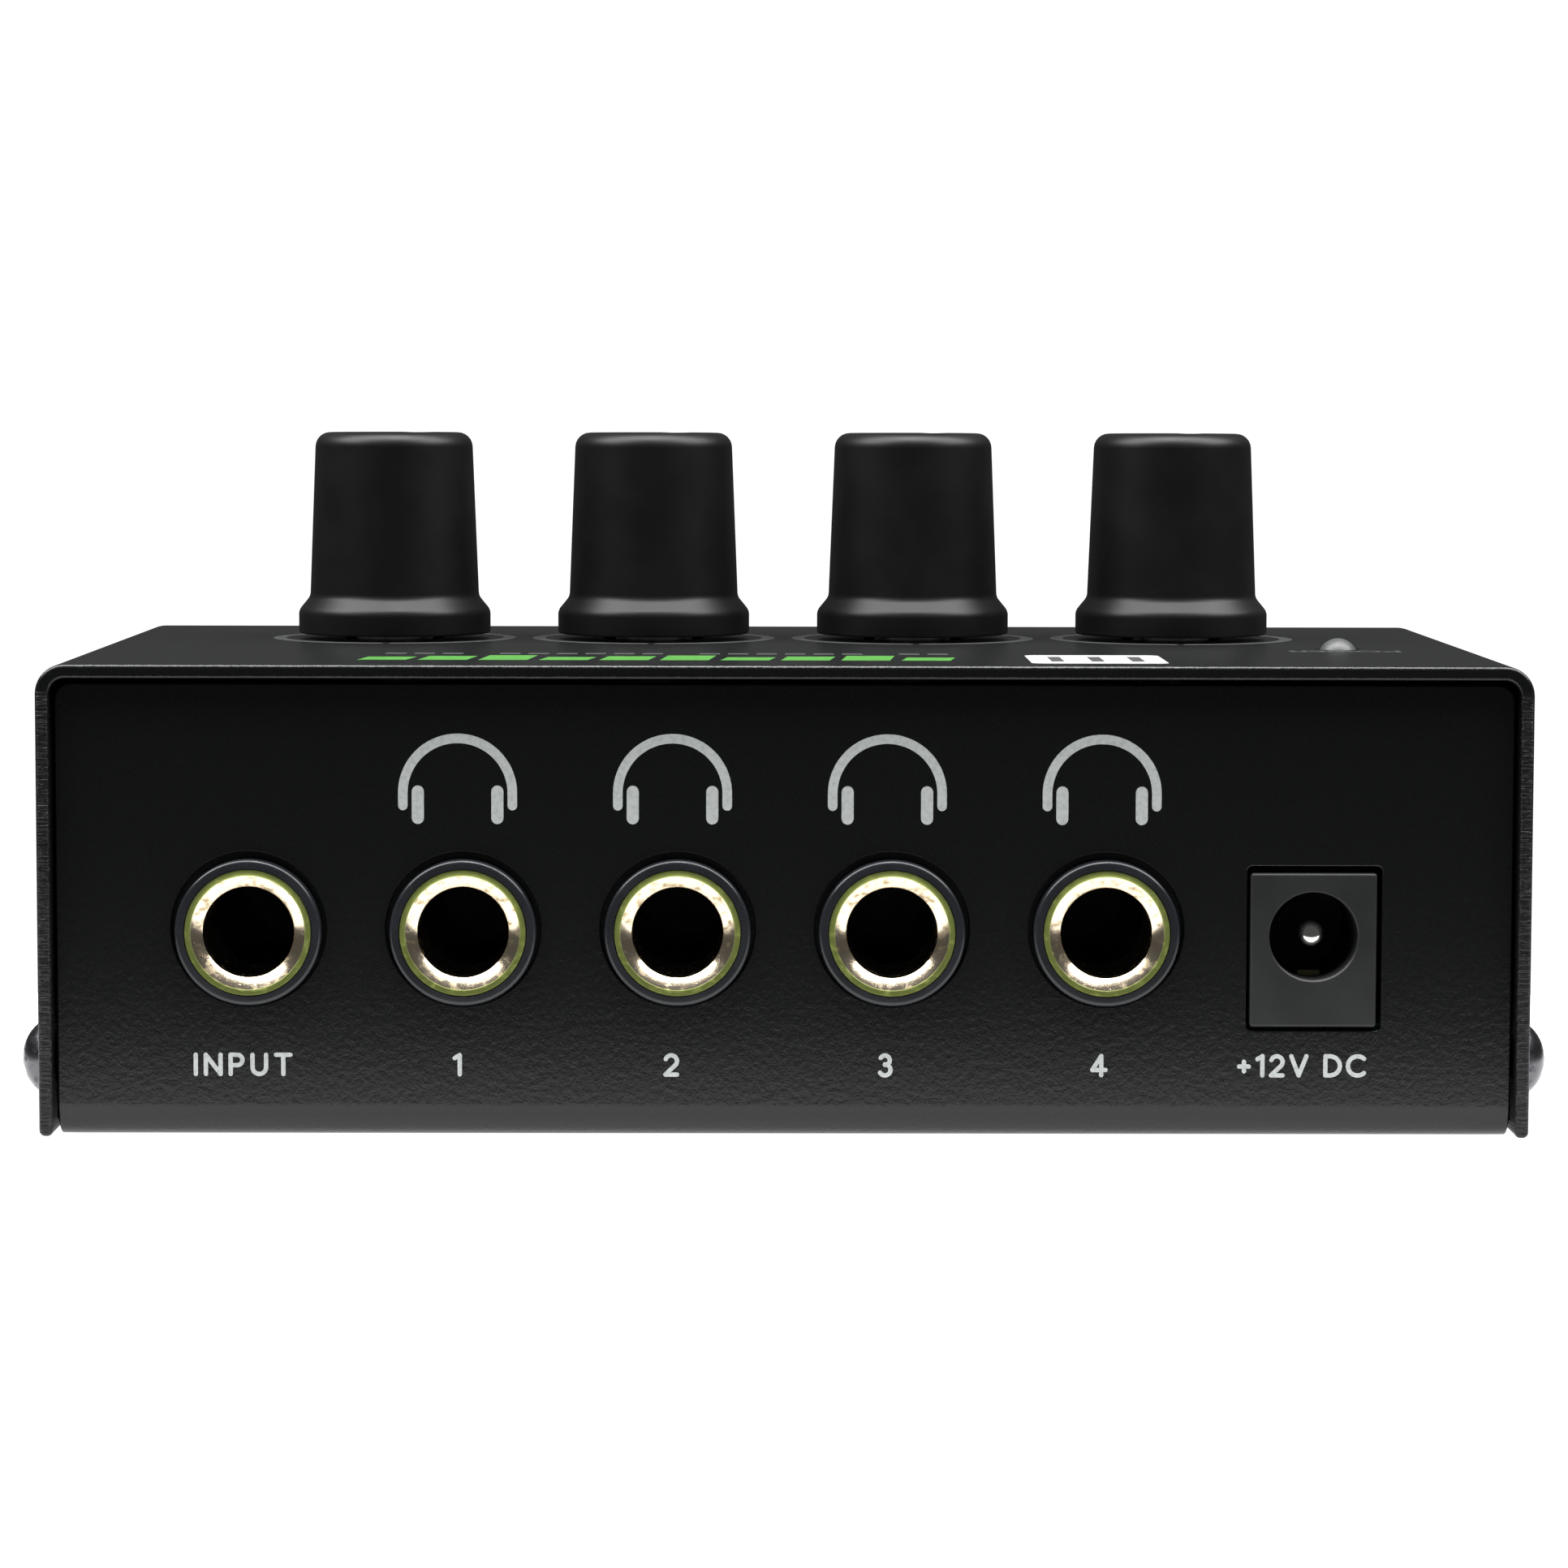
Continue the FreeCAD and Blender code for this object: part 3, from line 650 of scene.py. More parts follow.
@dataclass(frozen=True)
class FootRubber:
    """Matt black rubber with dust in its pores."""

    colour: Colour = (0.02, 0.02, 0.02)
    dusty: Colour = (0.05, 0.048, 0.045)
    pore_pitch: float = 0.15 * MM
    pore_depth: float = 0.02 * MM
    dust_pitch: float = 1.2 * MM

    def material(self) -> bpy.types.Material:
        """Build the material."""
        n = Nodes("foot_rubber")
        pores = n.noise([self.pore_pitch] * 3, 3.0)
        dust = n.noise([self.dust_pitch] * 3, 4.0).between(0.55, 0.75)
        return n.surface(
            Base_Color=n.blend(dust, opaque(self.colour), opaque(self.dusty)),
            Roughness=0.75 + pores * 0.15,
            Normal=n.bump(pores, self.pore_depth),
        )


@dataclass(frozen=True)
class DiffusedLens:
    """The power light's milky lens, unlit."""

    colour: Colour = (0.04, 0.042, 0.042)
    cloudy: Colour = (0.06, 0.062, 0.06)
    cloud_pitch: float = 0.5 * MM

    def material(self) -> bpy.types.Material:
        """Build the material."""
        n = Nodes("diffused_lens")
        cloud = n.noise([self.cloud_pitch] * 3, 2.0)
        return n.surface(
            Base_Color=n.blend(cloud, opaque(self.colour), opaque(self.cloudy)),
            Roughness=0.4 + cloud * 0.1,
        )


class Finishes:
    """Every material of the amplifier, each built once."""

    def __init__(self) -> None:
        """Build them."""
        self.paint = PowderCoat().material()
        self.knob = MouldedPlastic("knob_plastic", (0.0034, 0.0035, 0.0036), 0.4, specular=0.24).material()
        self.socket = MouldedPlastic("socket_plastic", (0.012, 0.0135, 0.016), 0.26, specular=0.5).material()
        self.inlet = MouldedPlastic(
            "inlet_plastic",
            (0.0115, 0.0122, 0.0122),
            roughness=0.46,
            grain_pitch=0.14 * MM,
            grain_depth=0.006 * MM,
            specular=0.4,
        ).material()
        self.inner = MouldedPlastic("inner_plastic", (0.012, 0.012, 0.012), 0.5).material()
        self.epoxy = MouldedPlastic("chip_epoxy", (0.018, 0.018, 0.019), 0.6).material()
        self.sleeve = MouldedPlastic("capacitor_sleeve", (0.01, 0.014, 0.05), 0.25).material()
        self.brass = TurnedMetal(
            "ferrule_brass",
            (0.86, 0.73, 0.54),
            (0.26, 0.19, 0.08),
            roughness=0.15,
            stain_share=0.75,
            # The olive front rim is a painted reflection, not a colour that the brass has.
            face=(0.36, 0.42, 0.12),
            face_y=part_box("jack_ferrule_input")[0].y,
        ).material()
        # The springs and contacts get a very dark metal: painted shade for the socket bores and the inlet
        # that they sit deep in.
        self.spring_painted_shade = TurnedMetal("spring_bronze_painted_shade", (0.2, 0.2, 0.11), (0.1, 0.1, 0.06), 0.4).material()
        self.contact = TurnedMetal(
            "contact_metal", (0.85, 0.85, 0.82), (0.5, 0.48, 0.42), roughness=0.12, stain_share=0.3
        ).material()
        self.nickel = TurnedMetal(
            "black_nickel", (0.13, 0.13, 0.14), (0.05, 0.05, 0.06), roughness=0.26, stain_share=0.8
        ).material()
        self.zinc = TurnedMetal("zinc_plate", (0.72, 0.72, 0.7), (0.5, 0.5, 0.46), 0.3, 0.5).material()
        self.print_grey = PrintedInk("print_grey", (0.5, 0.53, 0.52)).material()
        self.print_dim = PrintedInk("print_dim_grey", (0.035, 0.036, 0.036)).material()
        self.print_green = PrintedInk("print_green", (0.04, 0.16, 0.022)).material()
        self.print_white = PrintedInk("print_white", (0.3, 0.3, 0.3)).material()
        self.pointer = PrintedInk("pointer_white", (0.78, 0.78, 0.76)).material()
        self.board = SolderMask().material()
        self.rubber = FootRubber().material()
        self.lens = DiffusedLens().material()


# --- the case ---------------------------------------------------------------------------------
def middle(node: str) -> Vector:
    """The middle of a CAD node's box."""
    low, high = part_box(node)
    return (low + high) / 2


def screw_place() -> Vector:
    """The middle of the cover screw on the +X side at the +Y end."""
    low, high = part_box("cover_screws")
    return Vector((high.x, high.y - SCREW_HEAD, (low.z + high.z) / 2))


@dataclass
class FoldedCase:
    """The U-shaped cover over the U-shaped chassis, with every hole the CAD has."""

    finishes: Finishes
    knobs: Sequence[str]
    jacks: Sequence[str]
    sheet: float = 1.0 * MM
    cover_bend: float = 2.1 * MM
    chassis_bend: float = 2.5 * MM
    cover_edge: float = 0.28 * MM
    chassis_edge: float = 0.12 * MM
    leg_round: float = 0.45 * MM
    shaft_hole: float = 3.75 * MM
    lamp_hole: float = 1.6 * MM
    screw_hole: float = 1.7 * MM
    tapped_hole: float = 1.5 * MM
    stub_hole: float = 2.12 * MM
    panel_corner: float = 1.2 * MM
    panel_hole: float = 5.5 * MM
    panel_hole_rise: float = 0.22 * MM
    inlet_gaps: tuple[float, float, float, float] = (0.22 * MM, 0.35 * MM, 0.48 * MM, 0.26 * MM)
    inlet_corner: float = 0.35 * MM
    rear_spread: float = 0.26 * MM
    ear_length: float = 7.7 * MM
    ear_span: Pair = (1.3 * MM, 11.0 * MM)
    reach: float = 3.0 * MM
    fixings: Sequence[Pair] = (
        (-45.5 * MM, 6.0 * MM),
        (-45.5 * MM, 21.0 * MM),
        (45.5 * MM, -21.0 * MM),
        (45.5 * MM, 21.0 * MM),
    )

    def build_cover(self) -> bpy.types.Object:
        """Make the cover: a top and two sides from one sheet."""
        low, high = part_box("top_cover")
        t, outer, inner = self.sheet, self.cover_bend, self.cover_bend - self.sheet
        foot = min(self.leg_round, t / 2 - self.cover_edge / 4)
        outline = rounded(
            [
                (low.x, low.z, foot),
                (low.x, high.z, outer),
                (high.x, high.z, outer),
                (high.x, low.z, foot),
                (high.x - t, low.z, foot),
                (high.x - t, high.z - t, inner),
                (low.x + t, high.z - t, inner),
                (low.x + t, low.z, foot),
            ],
            10,
        )
        cover = prism("folded_cover", outline, Axis.Y, low.y, high.y)
        for knob in self.knobs:
            hub = middle(knob)
            tool = drill(Axis.Z, Vector((hub.x, hub.y, high.z)), self.shaft_hole, -self.reach, self.reach)
            combine(cover, "DIFFERENCE", tool)
        lamp = middle("power_led")
        tool = drill(Axis.Z, Vector((lamp.x, lamp.y, high.z)), self.lamp_hole, -self.reach, self.reach)
        combine(cover, "DIFFERENCE", tool)
        screw = screw_place()
        for y in (-screw.y, screw.y):
            span = high.x + self.reach
            combine(cover, "DIFFERENCE", drill(Axis.X, Vector((0, y, screw.z)), self.screw_hole, -span, span))
        soften(cover, self.cover_edge, 4, clamp=False)
        return dress(cover, self.finishes.paint, CASE)

    def panel_cutters(self, face_y: float) -> list[bpy.types.Object]:
        """The tools for the socket holes and the inlet's window."""
        tools = []
        for jack in self.jacks:
            bore = middle(f"jack_ferrule_{jack}")
            centre = Vector((bore.x, face_y, bore.z + self.panel_hole_rise))
            tools.append(drill(Axis.Y, centre, self.panel_hole, -self.reach, self.reach))
        low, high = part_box("dc_inlet_housing")
        left, right, above, below = self.inlet_gaps
        r = self.inlet_corner
        window = rounded(
            [
                (low.x - left, low.z - below, r),
                (low.x - left, high.z + above, r),
                (high.x + right, high.z + above, r),
                (high.x + right, low.z - below, r),
            ],
            6,
        )
        tools.append(prism("window", window, Axis.Y, face_y - self.reach, face_y + self.reach))
        return tools

    def build_ears(self, low: Vector, high: Vector) -> list[bpy.types.Object]:
        """The four tapped tabs turned in from the panels' edges."""
        ears = []
        for side in (-1, 1):
            for end in (-1, 1):
                x = sorted((side * high.x, side * (high.x - self.sheet)))
                y = sorted((end * (high.y - self.sheet / 2), end * (high.y - self.sheet - self.ear_length)))
                bottom = Vector((x[0], y[0], low.z + self.ear_span[0]))
                ears.append(block("ear", bottom, Vector((x[1], y[1], low.z + self.ear_span[1]))))
        return ears

    def build_chassis(self) -> bpy.types.Object:
        """Make the chassis: jack panel, floor, opposite panel and ears."""
        low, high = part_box("lower_chassis")
        t, outer, inner = self.sheet, self.chassis_bend, self.chassis_bend - self.sheet
        outline = rounded(
            [
                (low.y, high.z, 0),
                (low.y, low.z, outer),
                (high.y, low.z, outer),
                (high.y, high.z, 0),
                (high.y - t, high.z, 0),
                (high.y - t, low.z + t, inner),
                (low.y + t, low.z + t, inner),
                (low.y + t, high.z, 0),
            ],
            14,
        )
        chassis = prism("folded_chassis", outline, Axis.X, low.x, high.x)
        # The panel opposite the sockets is a little wider, so that no light shows through its side seams.
        for side in (-1, 1):
            x = sorted((side * (high.x - t), side * (high.x + self.rear_spread)))
            bottom = Vector((x[0], high.y - t, low.z + outer))
            top = Vector((x[1], high.y, high.z - self.panel_corner))
            combine(chassis, "UNION", block("spread", bottom, top))
        near = self.sheet / 100

        def at_corner(point: Vector) -> bool:
            """Whether a point is at an upper corner of either panel."""
            return abs(abs(point.x) - high.x) < near and abs(point.z - high.z) < near

        with EditMode(chassis, "EDGE") as edit:
            edit.pick_edges(lambda a, b: at_corner(a) and at_corner(b) and abs(a.x - b.x) < near)
            bpy.ops.mesh.bevel(offset=self.panel_corner, segments=10, affect="EDGES")
        combine(chassis, "UNION", *self.build_ears(low, high))
        combine(chassis, "DIFFERENCE", *self.panel_cutters(low.y))
        screw = screw_place()
        for y in (-screw.y, screw.y):
            span = high.x + self.reach
            tool = drill(Axis.X, Vector((0, y, screw.z)), self.tapped_hole, -span, span)
            combine(chassis, "DIFFERENCE", tool)
        for x, y in self.fixings:
            tool = drill(Axis.Z, Vector((x, y, low.z)), self.stub_hole, -t / 2, 1.5 * t)
            combine(chassis, "DIFFERENCE", tool)
        soften(chassis, self.chassis_edge, 3, clamp=False)
        return dress(chassis, self.finishes.paint, CASE)

    def build(self) -> None:
        """Make both folded pieces in place of their CAD nodes."""
        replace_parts(self.build_cover(), "top_cover")
        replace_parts(self.build_chassis(), "lower_chassis")


@dataclass
class Fasteners:
    """The cover's four domed cross-recess screws."""

    finishes: Finishes
    height: float = 1.8 * MM
    seat: float = 0.12 * MM
    dome_sine: float = 0.93
    rim: Pair = (0.06 * MM, 0.04 * MM)
    edge: float = 0.04 * MM
    shank: float = 1.45 * MM
    length: float = 4.0 * MM
    thread_pitch: float = 0.5 * MM
    thread_depth: float = 0.2 * MM
    recess_span: float = 2.9 * MM
    recess_width: float = 0.55 * MM
    recess_depth: float = 0.9 * MM

    def profile(self) -> list[Pair]:
        """The screw's half section: dome, seat, and a shank with thread grooves."""
        half = math.degrees(math.asin(self.dome_sine))
        ball = SCREW_HEAD / math.sin(math.radians(half))
        squash = (self.height - self.seat) / (ball * (1 - math.cos(math.radians(half))))
        dome = arc((0, 0), ball, 90, 90 - half, 16)
        section = [(max(r, 0.0), self.height - (ball - z) * squash) for r, z in dome]
        section += [(SCREW_HEAD, self.rim[1]), (SCREW_HEAD - self.rim[0], 0)]
        turns = int(self.length / self.thread_pitch) - 1
        for i in range(turns):
            top = -self.thread_pitch * (i + 0.4)
            section += [(self.shank, top), (self.shank - self.thread_depth, top - self.thread_pitch / 2)]
        return section + [(self.shank - self.thread_depth, -self.length), (0, -self.length)]

    def recess(self) -> list[Pair]:
        """The cross recess's outline, with its arms on the diagonals."""
        long, half = self.recess_span / 2, self.recess_width / 2
        arm = [(long, -half), (long, half), (half, half)]
        corners = []
        for quarter in range(4):
            turn = Matrix.Rotation(math.radians(45 + 90 * quarter), 2)
            corners += [tuple(turn @ Vector(corner)) for corner in arm]
        return corners

    def build(self) -> None:
        """Make the four screws as one piece, as their CAD node is."""
        place = screw_place()
        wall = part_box("top_cover")[1].x
        screws = []
        for side in (-1, 1):
            for y in (-place.y, place.y):
                profile = [(radius, side * along) for radius, along in self.profile()]
                centre = Vector((side * wall, y, place.z))
                screw = lathe("screw", profile, Axis.X, centre, 48)
                ends = sorted((side * (self.height - self.recess_depth), side * (self.height + MM)))
                driver = [(centre.y + u, centre.z + v) for u, v in self.recess()]
                tool = prism("driver", driver, Axis.X, centre.x + ends[0], centre.x + ends[1])
                screws.append(combine(screw, "DIFFERENCE", tool))
        screws = joined("domed_screws", screws)
        soften(screws, self.edge, 2, 50)
        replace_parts(dress(screws, self.finishes.nickel, CASE), "cover_screws")


@dataclass
class Feet:
    """Four moulded rubber feet."""

    finishes: Finishes
    radius: float = 4.0 * MM
    round: float = 0.4 * MM
    dish: float = 0.15 * MM
    dish_radii: Pair = (2.2 * MM, 2.48 * MM)
    taper: float = 0.1 * MM

    def build(self) -> None:
        """Make the feet as one piece, as their CAD node is."""
        low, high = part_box("rubber_feet")
        r, c = self.radius, self.round
        inner, outer = self.dish_radii
        profile = [(0, low.z + self.dish), (inner, low.z + self.dish), (outer, low.z), (r - c, low.z)]
        profile += arc((r - c, low.z + c), c, -90, 0, 5)[1:] + [(r - self.taper, high.z), (0, high.z)]
        feet = []
        for x in (low.x + r, high.x - r):
            for y in (low.y + r, high.y - r):
                feet.append(lathe("foot", profile, Axis.Z, Vector((x, y, 0)), 64))
        feet = joined("moulded_feet", feet)
        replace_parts(dress(feet, self.finishes.rubber, CASE), "rubber_feet")


# --- sockets ----------------------------------------------------------------------------------
@dataclass
class JackSocket:
    """One quarter-inch socket: moulded body with a round nose, and a brass ferrule."""

    finishes: Finishes
    names: Sequence[str]
    nose: float = 5.2 * MM
    nose_round: float = 0.3 * MM
    seat: float = 4.55 * MM
    cavity: float = 3.45 * MM
    cavity_end: float = 1.0 * MM
    shoulder: float = 2.0 * MM
    slot_half: float = 2.2 * MM
    upper_slot: Pair = (4.3 * MM, 1.6 * MM)
    lower_slot: Pair = (0.2 * MM, 0.6 * MM)
    lower_slot_depth: float = 0.3 * MM
    body_edge: float = 0.2 * MM
    rim: float = 4.52 * MM
    bore: float = 3.25 * MM
    cone: float = 4.13 * MM
    cone_depth: float = 0.55 * MM
    lip: float = 0.05 * MM

    def body(self) -> bpy.types.Object:
        """The moulded body of the first socket."""
        low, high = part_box(f"jack_housing_{self.names[0]}")
        sleeve_low, sleeve_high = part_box(f"jack_ferrule_{self.names[0]}")
        axis = (sleeve_low + sleeve_high) / 2
        front = Vector((axis.x, low.y, axis.z))
        body = block("jack_body", Vector((low.x, low.y + self.shoulder, low.z)), high)
        soften(body, self.body_edge, 3)
        r, c = self.nose, self.nose_round
        turns = [i * math.pi / 12 for i in range(7)]
        edge = [(r - c * (1 - math.sin(a)), c * (1 - math.cos(a))) for a in turns]
        root = self.shoulder * 1.2
        nose = lathe("nose", [(0, 0), *edge, (r, root), (0, root)], Axis.Y, front)
        combine(body, "UNION", nose)
        seat_end = sleeve_high.y - low.y
        hole = [(0, -MM), (self.seat, -MM), (self.seat, seat_end), (self.cavity, seat_end)]
        end = high.y - low.y - self.cavity_end
        combine(body, "DIFFERENCE", lathe("hole", [*hole, (self.cavity, end), (0, end)], Axis.Y, front))
        half = self.slot_half
        leaf_low, leaf_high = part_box(f"jack_contacts_{self.names[0]}")
        upper = block(
            "slot",
            Vector((axis.x - half, leaf_low.y + self.upper_slot[0], axis.z)),
            Vector((axis.x + half, high.y - self.upper_slot[1], high.z + MM)),
        )
        lower = block(
            "slot",
            Vector((axis.x - half, leaf_low.y - self.lower_slot[0], leaf_low.z - self.lower_slot_depth)),
            Vector((axis.x + half, leaf_high.y + self.lower_slot[1], axis.z)),
        )
        return combine(body, "DIFFERENCE", upper, lower)

    def ferrule(self) -> bpy.types.Object:
        """The brass sleeve of the first socket, with its lead-in cone."""
        low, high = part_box(f"jack_ferrule_{self.names[0]}")
        axis = (low + high) / 2
        length = high.y - low.y
        r, c = self.rim, self.lip
        profile = [
            (self.cone, 0),
            (r - c, 0),
            (r, c),
            (r, length),
            (self.bore, length),
            (self.bore, self.cone_depth + c),
            (self.bore + c, self.cone_depth),
            (self.cone - c, c / 2),
        ]
        return lathe("jack_sleeve", profile, Axis.Y, Vector((axis.x, low.y, axis.z)), 128, closed=True)

    def build(self) -> None:
        """Make the first socket and copy it along the row."""
        body, sleeve = self.body(), self.ferrule()
        first = middle(f"jack_ferrule_{self.names[0]}")
        for name in self.names:
            shift = middle(f"jack_ferrule_{name}") - first
            moulding = duplicate(body, f"socket_body_{name}", shift)
            ring = duplicate(sleeve, f"socket_ferrule_{name}", shift)
            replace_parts(dress(moulding, self.finishes.socket, CASE), f"jack_housing_{name}")
            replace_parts(dress(ring, self.finishes.brass, CASE), f"jack_ferrule_{name}")
        for source in (body, sleeve):
            bpy.data.objects.remove(source)


@dataclass
class PowerInlet:
    """The DC inlet: moulded block with a round mouth, and its plated centre pin."""

    finishes: Finishes
    mouth: float = 3.15 * MM
    depth: float = 9.5 * MM
    edge: float = 0.22 * MM
    pin: float = 1.05 * MM
    pin_collar: float = 1.6 * MM
    collar_height: float = 0.8 * MM
    lip: float = 0.12 * MM
    spring_play: float = 0.1 * MM

    def build(self) -> None:
        """Make the block and the pin."""
        low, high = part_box("dc_inlet_housing")
        axis = middle("dc_inlet_pin")
        front = Vector((axis.x, low.y, axis.z))
        housing = block("inlet_block", low, high)
        soften(housing, self.edge, 3)
        r, d, lip = self.mouth, self.depth, self.lip
        mouth = [(0, -MM), (r + lip, -MM), (r + lip, 0), (r, lip), (r, d), (self.pin_collar, d)]
        mouth += [(self.pin_collar, d - self.collar_height), (0, d - self.collar_height)]
        combine(housing, "DIFFERENCE", lathe("mouth", mouth, Axis.Y, front))
        spring_low, spring_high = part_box("dc_inlet_spring")
        grow = Vector((self.spring_play, 0, self.spring_play))
        slot = block("slot", spring_low - grow, spring_high + grow)
        combine(housing, "DIFFERENCE", slot)
        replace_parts(dress(housing, self.finishes.inlet, CASE), "dc_inlet_housing")
        tip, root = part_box("dc_inlet_pin")
        length, p = root.y - tip.y, self.pin
        profile = [(p * math.sin(a), p * (1 - math.cos(a))) for a in [i * math.pi / 24 for i in range(13)]]
        profile += [(p, length), (0, length)]
        pin = lathe("inlet_centre_pin", profile, Axis.Y, Vector((axis.x, tip.y, axis.z)), 48)
        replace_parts(dress(pin, self.finishes.contact, CASE), "dc_inlet_pin")


@dataclass
class PowerLamp:
    """The 3 mm lamp: domed lens, flange and two leads."""

    finishes: Finishes
    radius: float = 1.5 * MM
    flange: float = 1.9 * MM
    flange_height: float = 1.0 * MM
    flange_edge: float = 0.05 * MM
    flange_slope: float = 0.1 * MM
    length: float = 5.1 * MM
    lead: float = 0.25 * MM
    lead_offset: float = 0.9 * MM

    def build(self) -> None:
        """Make the lamp in place of its CAD node."""
        low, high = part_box("power_led")
        axis = middle("power_led")
        r, bottom = self.radius, high.z - self.length
        edge, shoulder = self.flange_edge, bottom + self.flange_height
        profile = [(0, bottom), (self.flange - edge, bottom), (self.flange, bottom + edge)]
        profile += [(self.flange, shoulder), (r, shoulder + self.flange_slope)]
        profile += arc((0, high.z - r), r, 0, 90, 12)
        lens = lathe("lens", profile, Axis.Z, Vector((axis.x, axis.y, 0)), 48)
        leads = [
            drill(Axis.Z, Vector((axis.x + side * self.lead_offset, axis.y, 0)), self.lead, low.z, bottom)
            for side in (-1, 1)
        ]
        lamp = joined("power_lamp", [lens, *leads])
        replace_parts(dress(lamp, self.finishes.lens, CASE), "power_led")


# --- controls ---------------------------------------------------------------------------------
@dataclass
class VolumeKnob:
    """One tapered knob with a chamfered skirt and an inlaid pointer."""

    finishes: Finishes
    number: int
    skirt_height: float = 1.8 * MM
    chamfer: float = 6.6 * MM
    chamfer_height: float = 2.9 * MM
    top: float = 6.1 * MM
    top_round: float = 1.15 * MM
    foot_edge: float = 0.2 * MM
    edge: float = 0.9 * MM
    lip: float = 0.1 * MM
    wall: float = 1.0 * MM
    cap: float = 2.2 * MM
    boss: float = 4.3 * MM
    boss_lift: float = 1.0 * MM
    shaft: float = 3.05 * MM
    shaft_play: float = 0.1 * MM
    pointer_width: float = 0.9 * MM
    pointer_depth: float = 0.3 * MM
    pointer_inner: float = 2.0 * MM
    pointer_foot: float = 3.8 * MM
    rest_angle: float = 60.0

    def outside(self, height: float, skirt: float) -> list[tuple[float, float, float]]:
        """The knob's outer half section, as corners with the radius of each."""
        return [
            (skirt, 0, self.foot_edge),
            (skirt, self.skirt_height, self.edge),
            (self.chamfer, self.chamfer_height, self.edge),
            (self.top, height, self.top_round),
            (0, height, 0),
        ]

    def build(self) -> None:
        """Make the knob and its pointer in place of their CAD nodes."""
        low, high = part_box(f"knob_{self.number}")
        centre = Vector(((low.x + high.x) / 2, (low.y + high.y) / 2, low.z))
        height, skirt = high.z - low.z, (high.x - low.x) / 2
        cap = height - self.cap
        lip = self.lip
        bore_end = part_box(f"pot_shaft_{self.number}")[1].z - low.z + self.shaft_play
        inside = [
            (0, bore_end, 0),
            (self.shaft, bore_end, 0),
            (self.shaft, self.boss_lift, lip),
            (self.boss, self.boss_lift, lip),
            (self.boss, cap, 0),
            (self.top - self.wall, cap, 0),
            (self.top - self.wall, self.skirt_height - self.boss_lift / 2, lip),
            (skirt - self.wall, self.skirt_height - self.boss_lift / 2, 0),
            (skirt - self.wall, 0, lip),
        ]
        section = rounded([*inside, *self.outside(height, skirt)], 6)
        knob = lathe(f"volume_knob_{self.number}", section, Axis.Z, centre, 128)
        pointer = self.pocket(centre, height, skirt)
        tool = duplicate(pointer, "pocket", Vector((0, 0, 0)))
        blank = duplicate(knob, "blank", Vector((0, 0, 0)))
        combine(knob, "DIFFERENCE", tool)
        combine(pointer, "INTERSECT", blank)
        body = f"volume_{self.number}"
        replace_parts(dress(knob, self.finishes.knob, body), f"knob_{self.number}")
        dress(pointer, self.finishes.pointer, body)
        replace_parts(pointer, f"knob_pointer_{self.number}")

    def pocket(self, centre: Vector, height: float, skirt: float) -> bpy.types.Object:
        """The pointer's pocket: a thin slab that follows the knob's top and side."""
        d, t = self.pointer_depth, self.top_round
        inner = arc((self.top - t, height - t), t - d, 90, 4, 6)
        foot = (self.chamfer - d, self.pointer_foot)
        outline = [(self.pointer_inner, height - d), *inner, foot, (skirt + MM, self.pointer_foot)]
        outline += [(skirt + MM, height + MM), (self.pointer_inner, height + MM)]
        half = self.pointer_width / 2
        slab = prism(f"pointer_inlay_{self.number}", outline, Axis.Y, -half, half)
        with EditMode(slab):
            bpy.ops.mesh.select_all(action="SELECT")
            bpy.ops.transform.rotate(
                value=-math.radians(self.rest_angle), orient_axis="Z", center_override=(0, 0, 0)
            )
            bpy.ops.transform.translate(value=centre)
        return slab


# --- printing ---------------------------------------------------------------------------------
def ribbon(path: Sequence[Pair], width: float) -> list[Pair]:
    """The outline of a gently curving stroke with round ends.

    Args:
        path: The middle of the stroke.
        width: Its width.

    Returns:
        The outline's points.
    """
    points = [Vector(p) for p in path]
    half = width / 2
    sides: list[tuple[Vector, Vector]] = []
    for i, point in enumerate(points):
        before = (point - points[i - 1]).normalized() if i else None
        after = (points[i + 1] - point).normalized() if i + 1 < len(points) else None
        along = ((before or after) + (after or before)).normalized()
        stretch = 1 / max(along.dot(after or before), 0.5)
        sides.append((point, Vector((-along.y, along.x)) * half * stretch))
    left = [tuple(point + side) for point, side in sides]
    right = [tuple(point - side) for point, side in reversed(sides)]
    first, last = (points[0] - points[1]), (points[-1] - points[-2])
    end = math.degrees(math.atan2(last.y, last.x))
    start = math.degrees(math.atan2(first.y, first.x))
    tip = arc(tuple(points[-1]), half, end + 90, end - 90, 8)[1:-1]
    tail = arc(tuple(points[0]), half, start + 90, start - 90, 8)[1:-1]
    return left + tip + right + tail


